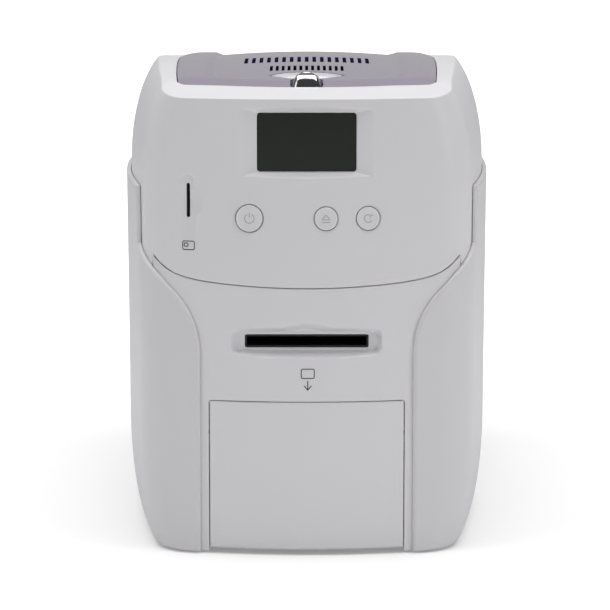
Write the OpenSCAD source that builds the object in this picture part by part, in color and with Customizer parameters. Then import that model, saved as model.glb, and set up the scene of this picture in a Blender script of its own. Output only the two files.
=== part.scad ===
// Desktop card printer with a moulded housing. Two proud side covers wrap a bowed
// front, a tinted lid is hinged at the back of the top deck, and a door at the foot
// of the front drops open on the card bin. A ribbon print unit stands inside.
// Millimetres, +Z up, front towards -Y, origin at the middle of the footprint.

/* [Housing form] */
// Width across the two side covers
body_w = 192; // [178:1:200]
// Depth from the bowed front to the screw heads on the back
body_d = 327; // [316:1:350]
// Height of the crest of the top deck
deck_h = 239; // [234:1:252]
// Radius of the bow of the front in plan
front_r = 220; // [190:5:300]
// Radius of the barrel of the sides in plan
side_r = 800; // [650:10:1500]
// Rounding of the four upright corners in plan
corner_r = 24; // [16:1:30]
// How far each side leans in from its widest height down to the foot
side_taper = 1.4; // [1:0.5:5]
// How far the toe curls in below the taper
toe_in = 9.5; // [6:0.5:12]
// Height of the curled toe
toe_h = 50; // [40:1:70]
// How far the shoulder rolls in towards the deck
shoulder_in = 24; // [16:1:28]
// Height over which the shoulder rolls in
shoulder_h = 57; // [50:1:58]
// Distance from the front to the crest of the deck
crest_from_front = 125; // [110:1:140]
// Fall of the deck from its crest to the front lip
fall_front = 8; // [5:0.5:11]
// Fall of the deck from its crest to the back edge
fall_back = 20; // [14:1:24]
// Depth of the sloping lip at the top of the front
lip_d = 14; // [10:1:18]
// Rise of the sloping lip
lip_rise = 4.5; // [4:0.5:7]

/* [Walls and gaps] */
// Wall of the upper housing, front panel, door and rear panel
wall = 2.5; // [2:0.1:3]
// Wall of the side covers
cover_wall = 2.2; // [1.8:0.1:2.6]
// Gap between mouldings that lie on or beside each other
seam_gap = 0.3; // [0.3:0.05:0.5]
// Gap round the lid, the door and the keys
part_gap = 0.4; // [0.35:0.05:0.6]
// Height of the lower edge of the mouldings above the table
sill_z = 1.2; // [1:0.1:2]

/* [Split lines] */
// Height of the seam below the upper housing, at its middle
seam_z = 133.5; // [126:0.5:136]
// Rise of the seam towards the side covers
seam_rise = 13.5; // [8:0.5:15]
// Half spacing of the side covers' front edges above the foot
cover_x = 53; // [51:0.5:56]
// Height at which a cover's front edge starts to sweep outwards
cover_turn_z = 101; // [95:1:106]
// Radius of that sweep
cover_turn_r = 42; // [36:1:48]
// Angle to which the edge leans outwards
cover_lean = 46; // [40:1:50]
// Straight run of the leaning edge
cover_run = 17; // [14:1:20]
// Radius at which the edge turns up again along the side
cover_lift_r = 33; // [28:1:40]
// Height of the top edge of the side covers
cover_top = 181; // [176:1:188]

/* [Lid] */
// Half width of the lid at its widest
lid_half = 67; // [64:0.5:68]
// Radius of the lid's sides in plan
lid_side_r = 1690; // [1200:10:2500]
// Thickness of the tinted shell
lid_wall = 2.4; // [2:0.1:3]
// How far the lid's edge stands above the deck
lid_proud = 0.6; // [0.4:0.1:1.6]
// Height of the raised middle above the lid's edge
lid_swell = 1.4; // [0.5:0.1:2]
// Distance from the back of the body to the lid's hinge axis
hinge_from_back = 67.5; // [60:0.5:75]
// Radius of the hinge knuckles
knuckle_r = 2.7; // [2.4:0.1:3]
// Radius of the hinge pins
hinge_pin_r = 1.25; // [1:0.05:1.4]
// Half length of the lid's own knuckle
lid_knuckle = 50; // [40:1:54]
// Number of vent slots in the back row
vents_back = 17; // [9:2:19]
// Number of vent slots in the front row
vents_front = 13; // [7:2:15]
// Width of a vent slot in the back row
vent_w = 1.7; // [1.2:0.1:2]

/* [Keys and display] */
// Width of the visible display
lcd_w = 48; // [44:0.5:52]
// Height of the visible display
lcd_h = 28.4; // [26:0.2:31]
// Distance of the display's middle below the crest of the deck
lcd_drop = 33.8; // [33:0.2:36]
// Width of the frame dished into the front round the display
lcd_frame_w = 66; // [60:1:70]
// Height of that frame
lcd_frame_h = 34; // [32:0.5:36]
// Depth of the frame
lcd_sink = 3; // [2:0.5:4]
// Distance of the row of keys below the display's middle
key_drop = 37.2; // [37:0.2:39]
// Radius of the power key
power_r = 6.6; // [6:0.1:7]
// Radius of the two smaller keys
key_r = 5.7; // [5:0.1:6]
// Travel of a key
key_travel = 0.8; // [0.6:0.1:1]
// Radius of a key's guide stem
key_stem_r = 2; // [1.6:0.1:2.4]

/* [Card slot and chip slot] */
// Width of the card slot
slot_w = 60; // [58:0.5:62]
// Height of the card slot
slot_h = 5.6; // [5:0.1:6.4]
// Height of the middle of the card slot, which is the card path
slot_z = 106.7; // [104:0.1:108]
// Width of the dish round the card slot
dish_w = 78.6; // [74:0.2:84]
// Height of the dish round the card slot
dish_h = 16; // [14:0.5:18]
// Depth of the dish
dish_d = 5; // [4:0.5:6]
// Distance of the chip slot from the middle
chip_x = 58; // [56:0.5:60]
// Distance of the chip slot's middle below the display's middle
chip_drop = 29; // [28:0.2:31]
// Length of the upright chip slot
chip_len = 17; // [14:0.5:19]
// Width of the chip slot
chip_gap = 1.7; // [1.2:0.1:2.2]

/* [Door and bin] */
// Half width of the bin door
door_half = 48; // [46:0.5:49]
// Height of the door's top edge
door_top = 77; // [72:0.5:80]
// Height of the door's hinge axis
door_axis_z = 8.4; // [8.2:0.1:9.4]
// Distance of that axis behind the middle of the front
door_axis_in = 9; // [8:0.5:10]
// Radius of the door's hinge pins
door_pin_r = 1.5; // [1.2:0.1:1.8]
// Inner width of the card bin
bin_w = 56; // [55:0.5:58]
// Inner length of the card bin
bin_len = 88; // [87:0.5:92]
// Inner depth of the card bin
bin_h = 52; // [40:1:56]
// Wall of the card bin
bin_wall = 2; // [1.6:0.1:2.4]

/* [Print unit] */
// Distance of the chassis plates' inner faces in from the widest half width
plate_in = 34; // [32:0.5:36]
// Thickness of the chassis plates
plate_t = 2; // [1.5:0.1:2.5]
// Radius of the driven rollers' rubber
roller_r = 6; // [5:0.1:6.5]
// Radius of the pinch rollers
pinch_r = 4.5; // [4:0.1:5]
// Radius of the roller shafts
shaft_r = 2.5; // [2:0.1:3]
// Running clearance of a shaft in its bush
shaft_play = 0.05; // [0.03:0.01:0.08]
// Outer radius of the bushes
bush_r = 4; // [3.6:0.1:4.4]
// Thickness of the cards
card_t = 0.8; // [0.5:0.05:1]
// Pitch radius of the roller pulleys
pulley_r = 9; // [8:0.5:9.5]
// Pitch radius of the motor pulley
motor_pulley_r = 6; // [5:0.5:7]
// Thickness of the drive belt
belt_t = 1.2; // [0.8:0.1:1.4]
// Width of the drive belt
belt_w = 6; // [5:0.5:7]
// Side of the square motor
motor_side = 42; // [38:1:44]
// Length of the motor
motor_len = 36; // [30:1:40]
// Width of the ribbon film
film_w = 58; // [56:0.5:60]
// Radius of the full roll of ribbon
supply_r = 15; // [12:0.5:17]
// Radius of the wound-up used ribbon
takeup_r = 10; // [8.5:0.5:12]
// Radius of the ribbon cores
core_r = 7; // [6:0.5:7.5]
// Side of the cooling fan
fan_side = 50; // [46:1:54]
// Thickness of the cooling fan
fan_t = 15; // [12:1:16]
// Number of fan blades
fan_blades = 7; // [5:1:9]

/* [Feet] */
// Radius of the rubber feet
foot_r = 9; // [7:0.5:11]
// Height by which the feet lift the tray
foot_h = 2.2; // [1.8:0.1:3]

/* [Hidden] */

half_w = body_w / 2;
// The form's faces: the side covers lie on it, the other mouldings a skin below.
skin = cover_wall + seam_gap;
inner = skin + wall;
screw_head = 1.4;
front = -body_d / 2 - skin;
back = body_d / 2 - screw_head + skin;
crest_y = front + crest_from_front;
lip_back = front + skin + lip_d;
lip_top = deck_h - fall_front;
hinge_y = back - hinge_from_back;
hinge_z = deck_z(hinge_y) - knuckle_r;
lcd_z = deck_h - lcd_drop;
key_z = lcd_z - key_drop;
chip_z = lcd_z - chip_drop;
card_low = slot_z - card_t / 2;
plate_x = half_w - plate_in;
tray_top = foot_h + 3;
eps = 0.25;

// ---- Form of the whole housing -------------------------------------------------

// How far the flank stands in from the widest half width at height z.
function flank_in(z) =
    side_taper * max(0, 1 - z / cover_top)
    + toe_in * (1 - sqrt(1 - pow(max(0, 1 - z / toe_h), 2)))
    + shoulder_in * (1 - sqrt(1 - pow(min(1, max(0, 1 - (deck_h + crown_over - z) / shoulder_h)), 2)));

// Height of the deck at y: one parabola falls to the lip and one to the back.
function deck_z(y) = y < crest_y
    ? deck_h - fall_front * pow((crest_y - y) / (crest_y - front - lip_d), 2)
    : deck_h - fall_back * pow((y - crest_y) / (back - crest_y), 2);

// The bowed front, x away from the middle and set in by inset.
function bow_y(x, inset) = front + front_r - sqrt(pow(front_r - inset, 2) - x * x);

// The housing laps this far behind the side covers' edges.
tuck = 6;

// Heights at which the plan of the form is set out; the roll ends above the crest.
crown_over = 3;
levels = concat(
    [for (s = [0, 0.12, 0.3, 0.6, 1]) toe_h * s],
    [cover_top - tuck, cover_top],
    [for (s = [0, 0.32, 0.56, 0.76, 0.9, 1]) deck_h + crown_over - shoulder_h * (1 - s)]
);

// Centre of a circle of radius r nestled inside two larger ones at a and b.
function nestled(a, ra, b, rb, r) = let (
    d = norm(b - a),
    u = (b - a) / d,
    along = (pow(ra - r, 2) - pow(rb - r, 2) + d * d) / (2 * d),
    across = sqrt(pow(ra - r, 2) - along * along)
) a + along * u + across * [u[1], -u[0]];

// Points on an arc about c of radius r between two angles.
function arc(c, r, a0, a1, n) = [for (i = [0 : n]) let (a = a0 + (a1 - a0) * i / n)
    c + r * [cos(a), sin(a)]];

function angle_of(v) = atan2(v[1], v[0]);

// Angle on the bow up to which its facets stand upright, the same at every height.
bow_flat = 12;

// Right half of the plan outline from the bowed front round to the back.
function half_plan(half, inset) = let (
    bow_c = [0, front + front_r],
    side_c = [half - side_r, 0],
    r = corner_r - inset,
    c1 = nestled(side_c, side_r - inset, bow_c, front_r - inset, r),
    c2 = [side_c[0] + sqrt(pow(side_r - inset - r, 2) - pow(back - inset - r, 2)), back - inset - r],
    front_end = angle_of(c1 - bow_c),
    side_start = angle_of(c1 - side_c),
    side_end = angle_of(c2 - side_c)
) concat(
    arc(bow_c, front_r - inset, -90, bow_flat - 90, 6),
    [for (i = [1 : 3]) let (a = bow_flat - 90 + (front_end + 90 - bow_flat) * i / 3)
        bow_c + (front_r - inset) * [cos(a), sin(a)]],
    arc(c1, r, front_end + (side_start - front_end) / 6, side_start, 5),
    arc(side_c, side_r - inset, side_start * 0.75, 0, 3),
    arc(side_c, side_r - inset, side_end * 0.25, side_end * 0.75, 2),
    arc(c2, r, side_end, 90, 6)
);

module plan(half, inset) {
    right = half_plan(half, inset);
    polygon(concat(right, [for (i = [len(right) - 1 : -1 : 1]) [-right[i][0], right[i][1]]]));
}

module plan_slice(z, inset) {
    translate([0, 0, z - (z > cover_top ? inset - skin : 0)])
    linear_extrude(eps)
    plan(half_w - flank_in(z), inset);
}

// The closed form, set in by inset, as a loft between its plans.
module form(inset) {
    intersection() {
        for (i = [0 : len(levels) - 2]) hull() {
            plan_slice(levels[i], inset);
            plan_slice(levels[i + 1], inset);
        }
        below_deck(inset);
    }
}

// Everything under the deck line and behind the sloping lip; the outer skin reaches it.
module below_deck(inset) {
    steps = 13;
    depth = inset - skin;
    y0 = lip_back - skin;
    along_x(-body_w, body_w) polygon(concat(
        [[back + 1, -1], [front - 1, -1], [front - 1, lip_top - lip_rise - depth]],
        [[front + inset, lip_top - lip_rise - depth]],
        [for (i = [0 : steps]) let (y = y0 + (back - y0) * i / steps) [y, deck_z(y) - depth]],
        [[back + 1, deck_z(back) - depth]]
    ));
}

// A moulded skin between two depths below the form, kept inside a region.
module shell(outer, thick) {
    difference() {
        intersection() {
            form(outer);
            union() children();
        }
        form(outer + thick);
        translate([-body_w, -body_d, -1]) cube([2 * body_w, 2 * body_d, 1 + sill_z]);
    }
}

// ---- Helpers -------------------------------------------------------------------

// Extrudes an (x, z) outline along Y from y0 to y1.
module along_y(y0, y1) {
    translate([0, y1, 0]) rotate([90, 0, 0]) linear_extrude(y1 - y0) children();
}

// Extrudes a (y, z) outline along X from x0 to x1.
module along_x(x0, x1) {
    translate([x0, 0, 0]) rotate([90, 0, 90]) linear_extrude(x1 - x0) children();
}

// A round bar along X from x0 to x1, centred on (y, z).
module x_bar(x0, x1, y, z, r, fn = 48) {
    translate([x0, y, z]) rotate([0, 90, 0]) cylinder(r = r, h = x1 - x0, $fn = fn);
}

// A round bar along Y from y0 to y1, centred on (x, z).
module y_bar(y0, y1, x, z, r, fn = 48) {
    translate([x, y0, z]) rotate([-90, 0, 0]) cylinder(r = r, h = y1 - y0, $fn = fn);
}

module box(x0, x1, y0, y1, z0, z1) {
    translate([x0, y0, z0]) cube([x1 - x0, y1 - y0, z1 - z0]);
}

module both_sides() {
    children();
    mirror([1, 0, 0]) children();
}

// Rectangle about the middle with round corners.
module round_rect(w, h, r) {
    offset(r = r, $fn = 24) square([w - 2 * r, h - 2 * r], center = true);
}

// ---- Split lines ---------------------------------------------------------------

// Height of the seam between upper housing and front panel at x.
function seam_line(x) = let (t = abs(x) / (cover_x + cover_turn_r * 0.52))
    seam_z + seam_rise * (0.45 * pow(t, 2) + 0.55 * pow(t, 10));

// Front edge of a side cover seen from the front: up, out on an arc, then up again.
lean_end = [cover_x + cover_turn_r * (1 - cos(cover_lean)),
            cover_turn_z + cover_turn_r * sin(cover_lean)];
lift_start = lean_end + cover_run * [sin(cover_lean), cos(cover_lean)];
lift_lean = 12;
cover_edge = concat(
    [[cover_x, -1]],
    [for (a = [0 : cover_lean / 7 : cover_lean + 0.01])
        [cover_x + cover_turn_r * (1 - cos(a)), cover_turn_z + cover_turn_r * sin(a)]],
    [for (a = [cover_lean : -(cover_lean - lift_lean) / 5 : lift_lean - 0.01])
        lift_start + cover_lift_r * [cos(a) - cos(cover_lean), sin(cover_lean) - sin(a)]]
);
edge_top = cover_edge[len(cover_edge) - 1];
rim = edge_top + (cover_top - edge_top[1]) * [tan(lift_lean), 1];
seam_end = lift_start[0] - 2;

// Region of the right side cover in the front view.
module cover_region() {
    polygon(concat(cover_edge, [rim, [body_w, cover_top], [body_w, -1]]));
}

// ---- Housing mouldings -----------------------------------------------------------

module side_cover() {
    color("whitesmoke")
    shell(0, cover_wall) {
        along_y(front - 1, eps) cover_region();
        box(rear_half, body_w, 0, back + 1, -1, cover_top);
    }
}

module right_side_cover() {
    side_cover();
}

module left_side_cover() {
    mirror([1, 0, 0]) side_cover();
}

// Half width and top of the separate rear panel.
rear_half = 66;
rear_top = 204;
lcd_floor = bow_y(lcd_frame_w / 2, skin) + lcd_sink / 2;
board_y = lcd_floor + wall + 6;
board_t = 1.6;

module upper_region() {
    seam_points = [for (i = [-12 : 12]) let (x = seam_end * i / 12)
        [x, seam_line(x) + seam_gap / 2]];
    along_y(front - 1, 0) polygon(concat(
        [[-body_w, cover_top - tuck], [-rim[0], cover_top - tuck]],
        [[-edge_top[0], edge_top[1] - tuck], [-seam_end, lift_start[1] - tuck]],
        seam_points,
        [[seam_end, lift_start[1] - tuck], [edge_top[0], edge_top[1] - tuck]],
        [[rim[0], cover_top - tuck], [body_w, cover_top - tuck]],
        [[body_w, deck_h + 1], [-body_w, deck_h + 1]]
    ));
    along_y(-eps, back + 1) difference() {
        translate([-body_w, cover_top - tuck]) square([2 * body_w, deck_h]);
        translate([-rear_half, 0]) square([2 * rear_half, rear_top + seam_gap / 2]);
    }
}

// Places a child on the bowed front at the chip slot, its own -Y pointing outwards.
module at_chip() {
    translate([-chip_x, bow_y(chip_x, skin), chip_z])
    rotate([0, 0, -asin(chip_x / (front_r - skin))])
    children();
}

// Screw bosses behind the front that carry the key board.
boss_bore = 2.3;
boss_at = [for (x = [-46, 42], z = [key_z - 8, lcd_z + 16]) [x, z]];

module upper_bosses() {
    box(-lcd_frame_w / 2 - wall, lcd_frame_w / 2 + wall, front, lcd_floor + wall,
        lcd_z - lcd_frame_h / 2 - wall, lcd_z + lcd_frame_h / 2 + wall);
    for (p = boss_at) y_bar(front, board_y - 0.1, p[0], p[1], 2.8, 20);
}

module upper_housing() {
    color("whitesmoke") difference() {
        intersection() {
            form(skin);
            upper_region();
        }
        difference() {
            form(skin + wall);
            upper_bosses();
        }
        translate([0, 0, lip_top - 12]) linear_extrude(40) lid_plan(part_gap);
        for (p = boss_at) y_bar(board_y - boss_bore, board_y, p[0], p[1], 1.15, 24);
        lcd_dish();
        key_holes();
        chip_dish();
    }
}

// The frame dished round the display, narrowing to the glass.
module lcd_dish() {
    translate([0, 0, lcd_z]) {
        hull() {
            along_y(front - 5, front - 4.9) round_rect(lcd_frame_w + 8, lcd_frame_h + 8, 4);
            along_y(lcd_floor - 0.1, lcd_floor)
                round_rect(lcd_frame_w - 7, lcd_frame_h - 3, 3);
        }
        along_y(front, lcd_floor + wall + 1)
            round_rect(lcd_w + 2 * seam_gap, lcd_h + 2 * seam_gap, 1.5);
    }
}

module key_holes() {
    for (k = keys) y_bar(front, board_y - 2, k[0], key_z, k[1] + part_gap, 40);
}

// Keys from left to right: place and radius.
power_x = -28;
eject_x = 9.4;
ribbon_x = 30;
keys = [[power_x, power_r], [eject_x, key_r], [ribbon_x, key_r]];

// Round thumb scoop, the long shallow well and the slot for a chip card.
module chip_dish() {
    scoop_r = 8;
    ball_r = 20;
    at_chip() {
        translate([0, -sqrt(ball_r * ball_r - scoop_r * scoop_r), 0]) sphere(ball_r, $fn = 60);
        along_y(-3, 0.7) translate([0, -2.5]) offset(r = 3.4, $fn = 24) square([0.2, 25], true);
        along_y(-3, wall + 1) square([chip_gap, chip_len], center = true);
    }
}

module lower_region() {
    lap = 4;
    half = [for (p = cover_edge) if (p[1] < lift_start[1] - 4) [p[0] + lap, p[1]]];
    top = [for (i = [-12 : 12]) let (x = (seam_end - seam_gap) * i / 12)
        [-x, seam_line(x) - seam_gap / 2]];
    along_y(front - 1, front + 45) difference() {
        polygon(concat(half, top, [for (i = [len(half) - 1 : -1 : 0]) [-half[i][0], half[i][1]]]));
        translate([-door_half - part_gap, -1])
            square([2 * (door_half + part_gap), door_top + part_gap + 1]);
    }
}

dish_floor = bow_y(dish_w / 2, skin) + dish_d - 2;

module lower_front_panel() {
    color("whitesmoke") difference() {
        intersection() {
            form(skin);
            lower_region();
        }
        difference() {
            form(skin + wall);
            box(-dish_w / 2 - wall, dish_w / 2 + wall, front, dish_floor + wall,
                slot_z - dish_h / 2 - wall, slot_z + dish_h / 2 + wall + 5);
        }
        translate([-body_w, -body_d, -1]) cube([2 * body_w, 2 * body_d, 1 + sill_z]);
        slot_dish();
    }
}

// The dish round the card slot, the thumb scoop above it and the slot itself.
module slot_dish() {
    scoop_w = 41;
    scoop_rise = 13.5;
    translate([0, 0, slot_z]) {
        hull() {
            along_y(front - 4.1, front - 4) round_rect(dish_w + 6, dish_h + 6, 4);
            along_y(dish_floor - 0.1, dish_floor) round_rect(dish_w - 8, dish_h - 7, 2);
        }
        intersection() {
            hull() {
                along_y(front - 4.1, front - 4) scale([1, 2 * scoop_rise / scoop_w])
                    circle(scoop_w / 2 + 2, $fn = 40);
                along_y(dish_floor - 1.1, dish_floor - 1)
                    scale([1, 0.42]) circle(scoop_w / 2 - 6, $fn = 40);
            }
            box(-scoop_w, scoop_w, front - 5, dish_floor, 0, dish_w);
        }
        along_y(front, dish_floor + wall + 1) round_rect(slot_w + 1, slot_h + 1, 1);
    }
}

module rear_panel() {
    color("gainsboro") difference() {
        shell(skin, wall) along_y(back - 20, back + 1) difference() {
            translate([-rear_half - tuck, 0]) square([2 * (rear_half + tuck), rear_top]);
            translate([-rear_half - tuck - 1, cover_top - tuck - seam_gap])
                square([tuck + 1, 60]);
            translate([rear_half, cover_top - tuck - seam_gap]) square([tuck + 1, 60]);
        }
        for (s = [-3 : 3]) hull() for (x = [-1, 1])
            y_bar(back - 9, back + 1, fan_x + x * sqrt(pow(fan_side / 2 - 4, 2) - pow(6 * s, 2)),
                fan_z + 6 * s, 1.3, 12);
        for (i = [0 : 8]) hull() for (z = [0, 22])
            y_bar(back - 9, back + 1, vent_x + 4.5 * i, fan_z - 11 + z, 1.1, 12);
        for (p = ports) box(p[0] - part_gap, p[0] + p[1] + part_gap, back - 9, back + 1,
            io_top - socket_sink - part_gap, io_top + p[2] + part_gap);
    }
}

// Ports on the back, from the left as seen from the front: place, width and height.
io_top = 22;
socket_sink = 0.5;
port_depth = 14;
ports = [[-48, 13.5, 20.5], [-26, 12, 11], [-6, 16, 13.5], [20, 10, 11]];
fan_x = corner_r + 14 + fan_side / 2 - half_w;
fan_z = 120;
vent_x = 10;

tray_half = half_w - flank_in(foot_h);

module tray_plan(grow) {
    difference() {
        offset(delta = grow) plan(tray_half, inner + part_gap);
        translate([-door_half - 5, front - 1])
            square([2 * (door_half + 5), door_axis_in + 1 + knee]);
    }
}

// Clear depth behind the door's axis before the tray begins.
knee = 7;

module base_tray() {
    rim_t = 2;
    rim_h = 9;
    color("silver") {
        difference() {
            translate([0, 0, foot_h]) linear_extrude(rim_h) tray_plan(0);
            translate([0, 0, tray_top]) linear_extrude(rim_h) tray_plan(-rim_t);
            for (x = [-1, 1], y = [-1, 1]) translate([foot_x * x, foot_y * y, foot_h - 1])
                cylinder(r = 2, h = 9, $fn = 24);
            for (i = [-4 : 4]) box(-22, 22, 62 + 7 * i, 65 + 7 * i, 0, tray_top + 1);
        }
        door_lugs();
    }
}

foot_x = 58;
foot_y = body_d / 2 - 40;

module rubber_feet() {
    color("dimgray") for (x = [-1, 1], y = [-1, 1]) translate([foot_x * x, foot_y * y, 0]) {
        cylinder(r = foot_r, h = foot_h - 0.05, $fn = 48);
        cylinder(r = 1.9, h = foot_h + 4.5, $fn = 24);
    }
}

// Pan heads of the four screws that hold the rear panel.
module housing_screws() {
    color("dimgray") {
        for (x = [-46, 46], z = [60, 190]) {
            y_bar(back - skin + 0.05, back - skin + screw_head, x, z, 3, 24);
        }
    }
}

// ---- Lid and its hinge -----------------------------------------------------------

lid_back = hinge_y - knuckle_r - seam_gap;
lid_mid = (lip_back + lid_back) / 2;
lid_skirt = 7;

// Half width of the lid at y.
function lid_side(y) = lid_half - pow(y - lid_mid, 2) / (2 * lid_side_r);

// Plan of the lid, or of the opening round it when grown.
module lid_plan(grow) {
    rear_y = grow > 0 ? hinge_y + knuckle_r + part_gap : lid_back;
    offset(r = 7 + grow, $fn = 32) offset(delta = -7) intersection() {
        translate([0, front + front_r]) circle(front_r - skin - lip_d, $fn = 150);
        translate([lid_half - lid_side_r, lid_mid]) circle(lid_side_r, $fn = 420);
        translate([lid_side_r - lid_half, lid_mid]) circle(lid_side_r, $fn = 420);
        translate([-lid_half, front]) square([2 * lid_half, rear_y - grow - front]);
    }
}

// Crown line across the lid, t from -1 at one side to 1 at the other.
function lid_crown(t) = lid_proud + lid_swell * (1 - pow(abs(t), 3));

module lid_slice(y, inset) {
    z = deck_z(y) - inset;
    along_y(y, y + eps) polygon(concat(
        [[lid_half + 1, deck_z(back) - 14], [-lid_half - 1, deck_z(back) - 14]],
        [for (i = [-5 : 5]) [(lid_half + 1) * i / 5, z + lid_crown(i / 5)]]
    ));
}

// The crowned block under the lid's top surface, its front edge sloped off.
module lid_block(inset) {
    slope_d = 5;
    stations = [for (i = [0 : 9]) lip_back + slope_d + (lid_back - lip_back - slope_d) * i / 9];
    intersection() {
        union() {
            hull() {
                translate([0, 0, -slope_d + 1]) lid_slice(lip_back - 1, inset);
                lid_slice(stations[0], inset);
            }
            for (i = [0 : 8]) hull() {
                lid_slice(stations[i], inset);
                lid_slice(stations[i + 1], inset);
            }
        }
        translate([0, 0, deck_z(back) - 14 + inset]) linear_extrude(60) offset(delta = -inset) lid_plan(0);
    }
}

// Opening for the white grip insert: a lens behind a notch for the release button.
grip_y = lip_back + 12;
grip_half = 19;
grip_len = 18;
button_w = 15.4;
button_d = 11;
button_y = lip_back + 2 + button_d / 2;

module grip_plan(grow) {
    lens_r = (grip_half * grip_half + grip_len * grip_len / 4) / grip_len;
    offset(delta = grow) intersection() {
        translate([0, grip_y + grip_len / 2 + lens_r - grip_len / 2]) circle(lens_r, $fn = 90);
        translate([0, grip_y + grip_len / 2 - lens_r + grip_len / 2]) circle(lens_r, $fn = 90);
    }
}

module button_plan(grow) {
    translate([0, button_y]) offset(r = 2.5 + grow, $fn = 20)
        square([button_w - 5, button_d - 5], center = true);
}

module top_lid() {
    color([0.66, 0.64, 0.7]) difference() {
        lid_block(0);
        lid_block(lid_wall);
        translate([0, 0, -1]) linear_extrude(lip_top - lid_skirt + 1) square(2 * body_d, center = true);
        translate([0, 0, lip_top - 20]) linear_extrude(60) {
            grip_plan(part_gap);
            button_plan(part_gap);
            translate([-button_w / 2, lip_back - 5]) square([button_w, 8]);
        }
        translate([-lid_half, lid_back - 4, 0]) cube([2 * lid_half, 10, deck_z(lid_back) - 2.4]);
        vent_row(vents_back, 3.9, 26, lip_back + 76.5, vent_w, 6);
        vent_row(vents_front, 2.97, 16, lip_back + 42.5, vent_w - 0.3, 0);
    }
}

// A row of upright vent slots whose ends lean towards the middle by up to fan degrees.
module vent_row(count, pitch, len, y, w, fan) {
    mid = (count - 1) / 2;
    for (i = [-mid : mid]) translate([pitch * i, y, lip_top - 15]) rotate([0, 0, fan * i / mid])
        hull() for (s = [-1, 1]) translate([0, s * (len - w) / 2, 0])
            cylinder(r = w / 2, h = 60, $fn = 6);
}

// The lid's own knuckle with its bored ends, carried by a flange under the lid's edge.
module lid_hinge_bar() {
    flange = 7;
    depth = 14;
    color([0.6, 0.58, 0.66]) difference() {
        union() {
            x_bar(-lid_knuckle, lid_knuckle, hinge_y, hinge_z, knuckle_r);
            box(-lid_knuckle, lid_knuckle, hinge_y - knuckle_r - flange, hinge_y,
                hinge_z - 2.2, hinge_z - 0.6);
        }
        for (s = [-1, 1]) x_bar(s * lid_knuckle - depth, s * lid_knuckle + depth,
            hinge_y, hinge_z, hinge_pin_r + shaft_play, 32);
    }
}

bracket_len = 7;

// Fixed knuckles outside the lid's own, each on a foot under the rear deck.
module hinge_brackets() {
    x0 = lid_knuckle + seam_gap;
    foot_top = deck_z(hinge_y + 16) - wall - 0.1;
    color("dimgray") both_sides() difference() {
        union() {
            x_bar(x0, x0 + bracket_len, hinge_y, hinge_z, knuckle_r);
            box(x0, x0 + bracket_len, hinge_y - 1, hinge_y + 1, foot_top - 3.5, hinge_z);
            box(x0, x0 + bracket_len, hinge_y - 1, hinge_y + 16, foot_top - 3.5, foot_top);
        }
        x_bar(x0 - 1, x0 + bracket_len - 2, hinge_y, hinge_z, hinge_pin_r + shaft_play, 32);
    }
}

module hinge_pins() {
    x0 = lid_knuckle - 10;
    color("silver") both_sides()
        x_bar(x0, lid_knuckle + seam_gap + bracket_len - 2.5, hinge_y, hinge_z, hinge_pin_r, 32);
}

catch_x = 27;
catch_y = lip_back + 22;
catch_low = lip_top - 22;

// Two tongues under the lid, thinned to a tip that slips between the clip leaves.
module lid_catches() {
    top = deck_z(catch_y) + lid_proud - lid_wall - seam_gap;
    color("dimgray") both_sides() along_x(catch_x - 4, catch_x + 4) polygon([
        [catch_y - 1, catch_low + 4], [catch_y - 0.4, catch_low], [catch_y + 0.4, catch_low],
        [catch_y + 1, catch_low + 4], [catch_y + 1.2, top - 3],
        [catch_y + 5, top], [catch_y - 5, top], [catch_y - 1.2, top - 3]
    ]);
}

// ---- Grip insert and release button ----------------------------------------------

grip_top = deck_z(grip_y) + lid_proud;
bezel_floor = lip_top - 22;
well_half = button_w / 2 + 2.5;

// White insert in the housing: the crescent that shows through the lid, the button's
// well, whose front wall bears on the key board, and spring leaves at both sides that
// the lid's tongues snap between.
module latch_bezel() {
    color("white") {
        difference() {
            union() {
                translate([0, 0, bezel_floor]) linear_extrude(grip_top - bezel_floor) grip_plan(0);
                box(-well_half, well_half, board_y + board_t + 0.1, button_y + button_d / 2 + 2,
                    bezel_floor, lip_top - lid_skirt - seam_gap);
                translate([0, 0, bezel_floor]) linear_extrude(3)
                    translate([0, catch_y - 4]) square([2 * catch_x + 14, 18], center = true);
            }
            translate([0, 0, bezel_floor + 3]) linear_extrude(60) button_plan(part_gap);
            translate([0, grip_y + 13.5, grip_top + 15]) scale([1.4, 0.75, 1])
                sphere(16.5, $fn = 60);
            both_sides() box(catch_x - 6, catch_x + 6, catch_y - 1.9, catch_y + 1.9, 0, bezel_floor + 9);
        }
        both_sides() for (s = [-1, 1])
            box(catch_x - 4, catch_x + 4, catch_y + s * 2.6 - 0.6, catch_y + s * 2.6 + 0.6,
                bezel_floor + 3, bezel_floor + 11);
    }
}

button_top = lip_top + 7;
button_travel = 2.5;

// Bright release button: a domed cap drawn in towards the top, on a hollow skirt.
module release_button() {
    cap_low = lip_top - 12;
    color([0.86, 0.87, 0.9]) difference() {
        union() {
            hull() {
                translate([0, 0, cap_low]) linear_extrude(lip_top + 0.5 - cap_low) button_plan(0);
                translate([0, 0.6, lip_top + 4]) linear_extrude(0.1) button_plan(-0.9);
                translate([0, 1, button_top - 1]) linear_extrude(0.1) button_plan(-1.4);
                translate([0, 1.2, button_top]) linear_extrude(0.1) button_plan(-1.9);
            }
        }
        translate([0, button_y, cap_low - 1]) cylinder(r = 3.2, h = lip_top - cap_low, $fn = 32);
    }
}

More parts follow.
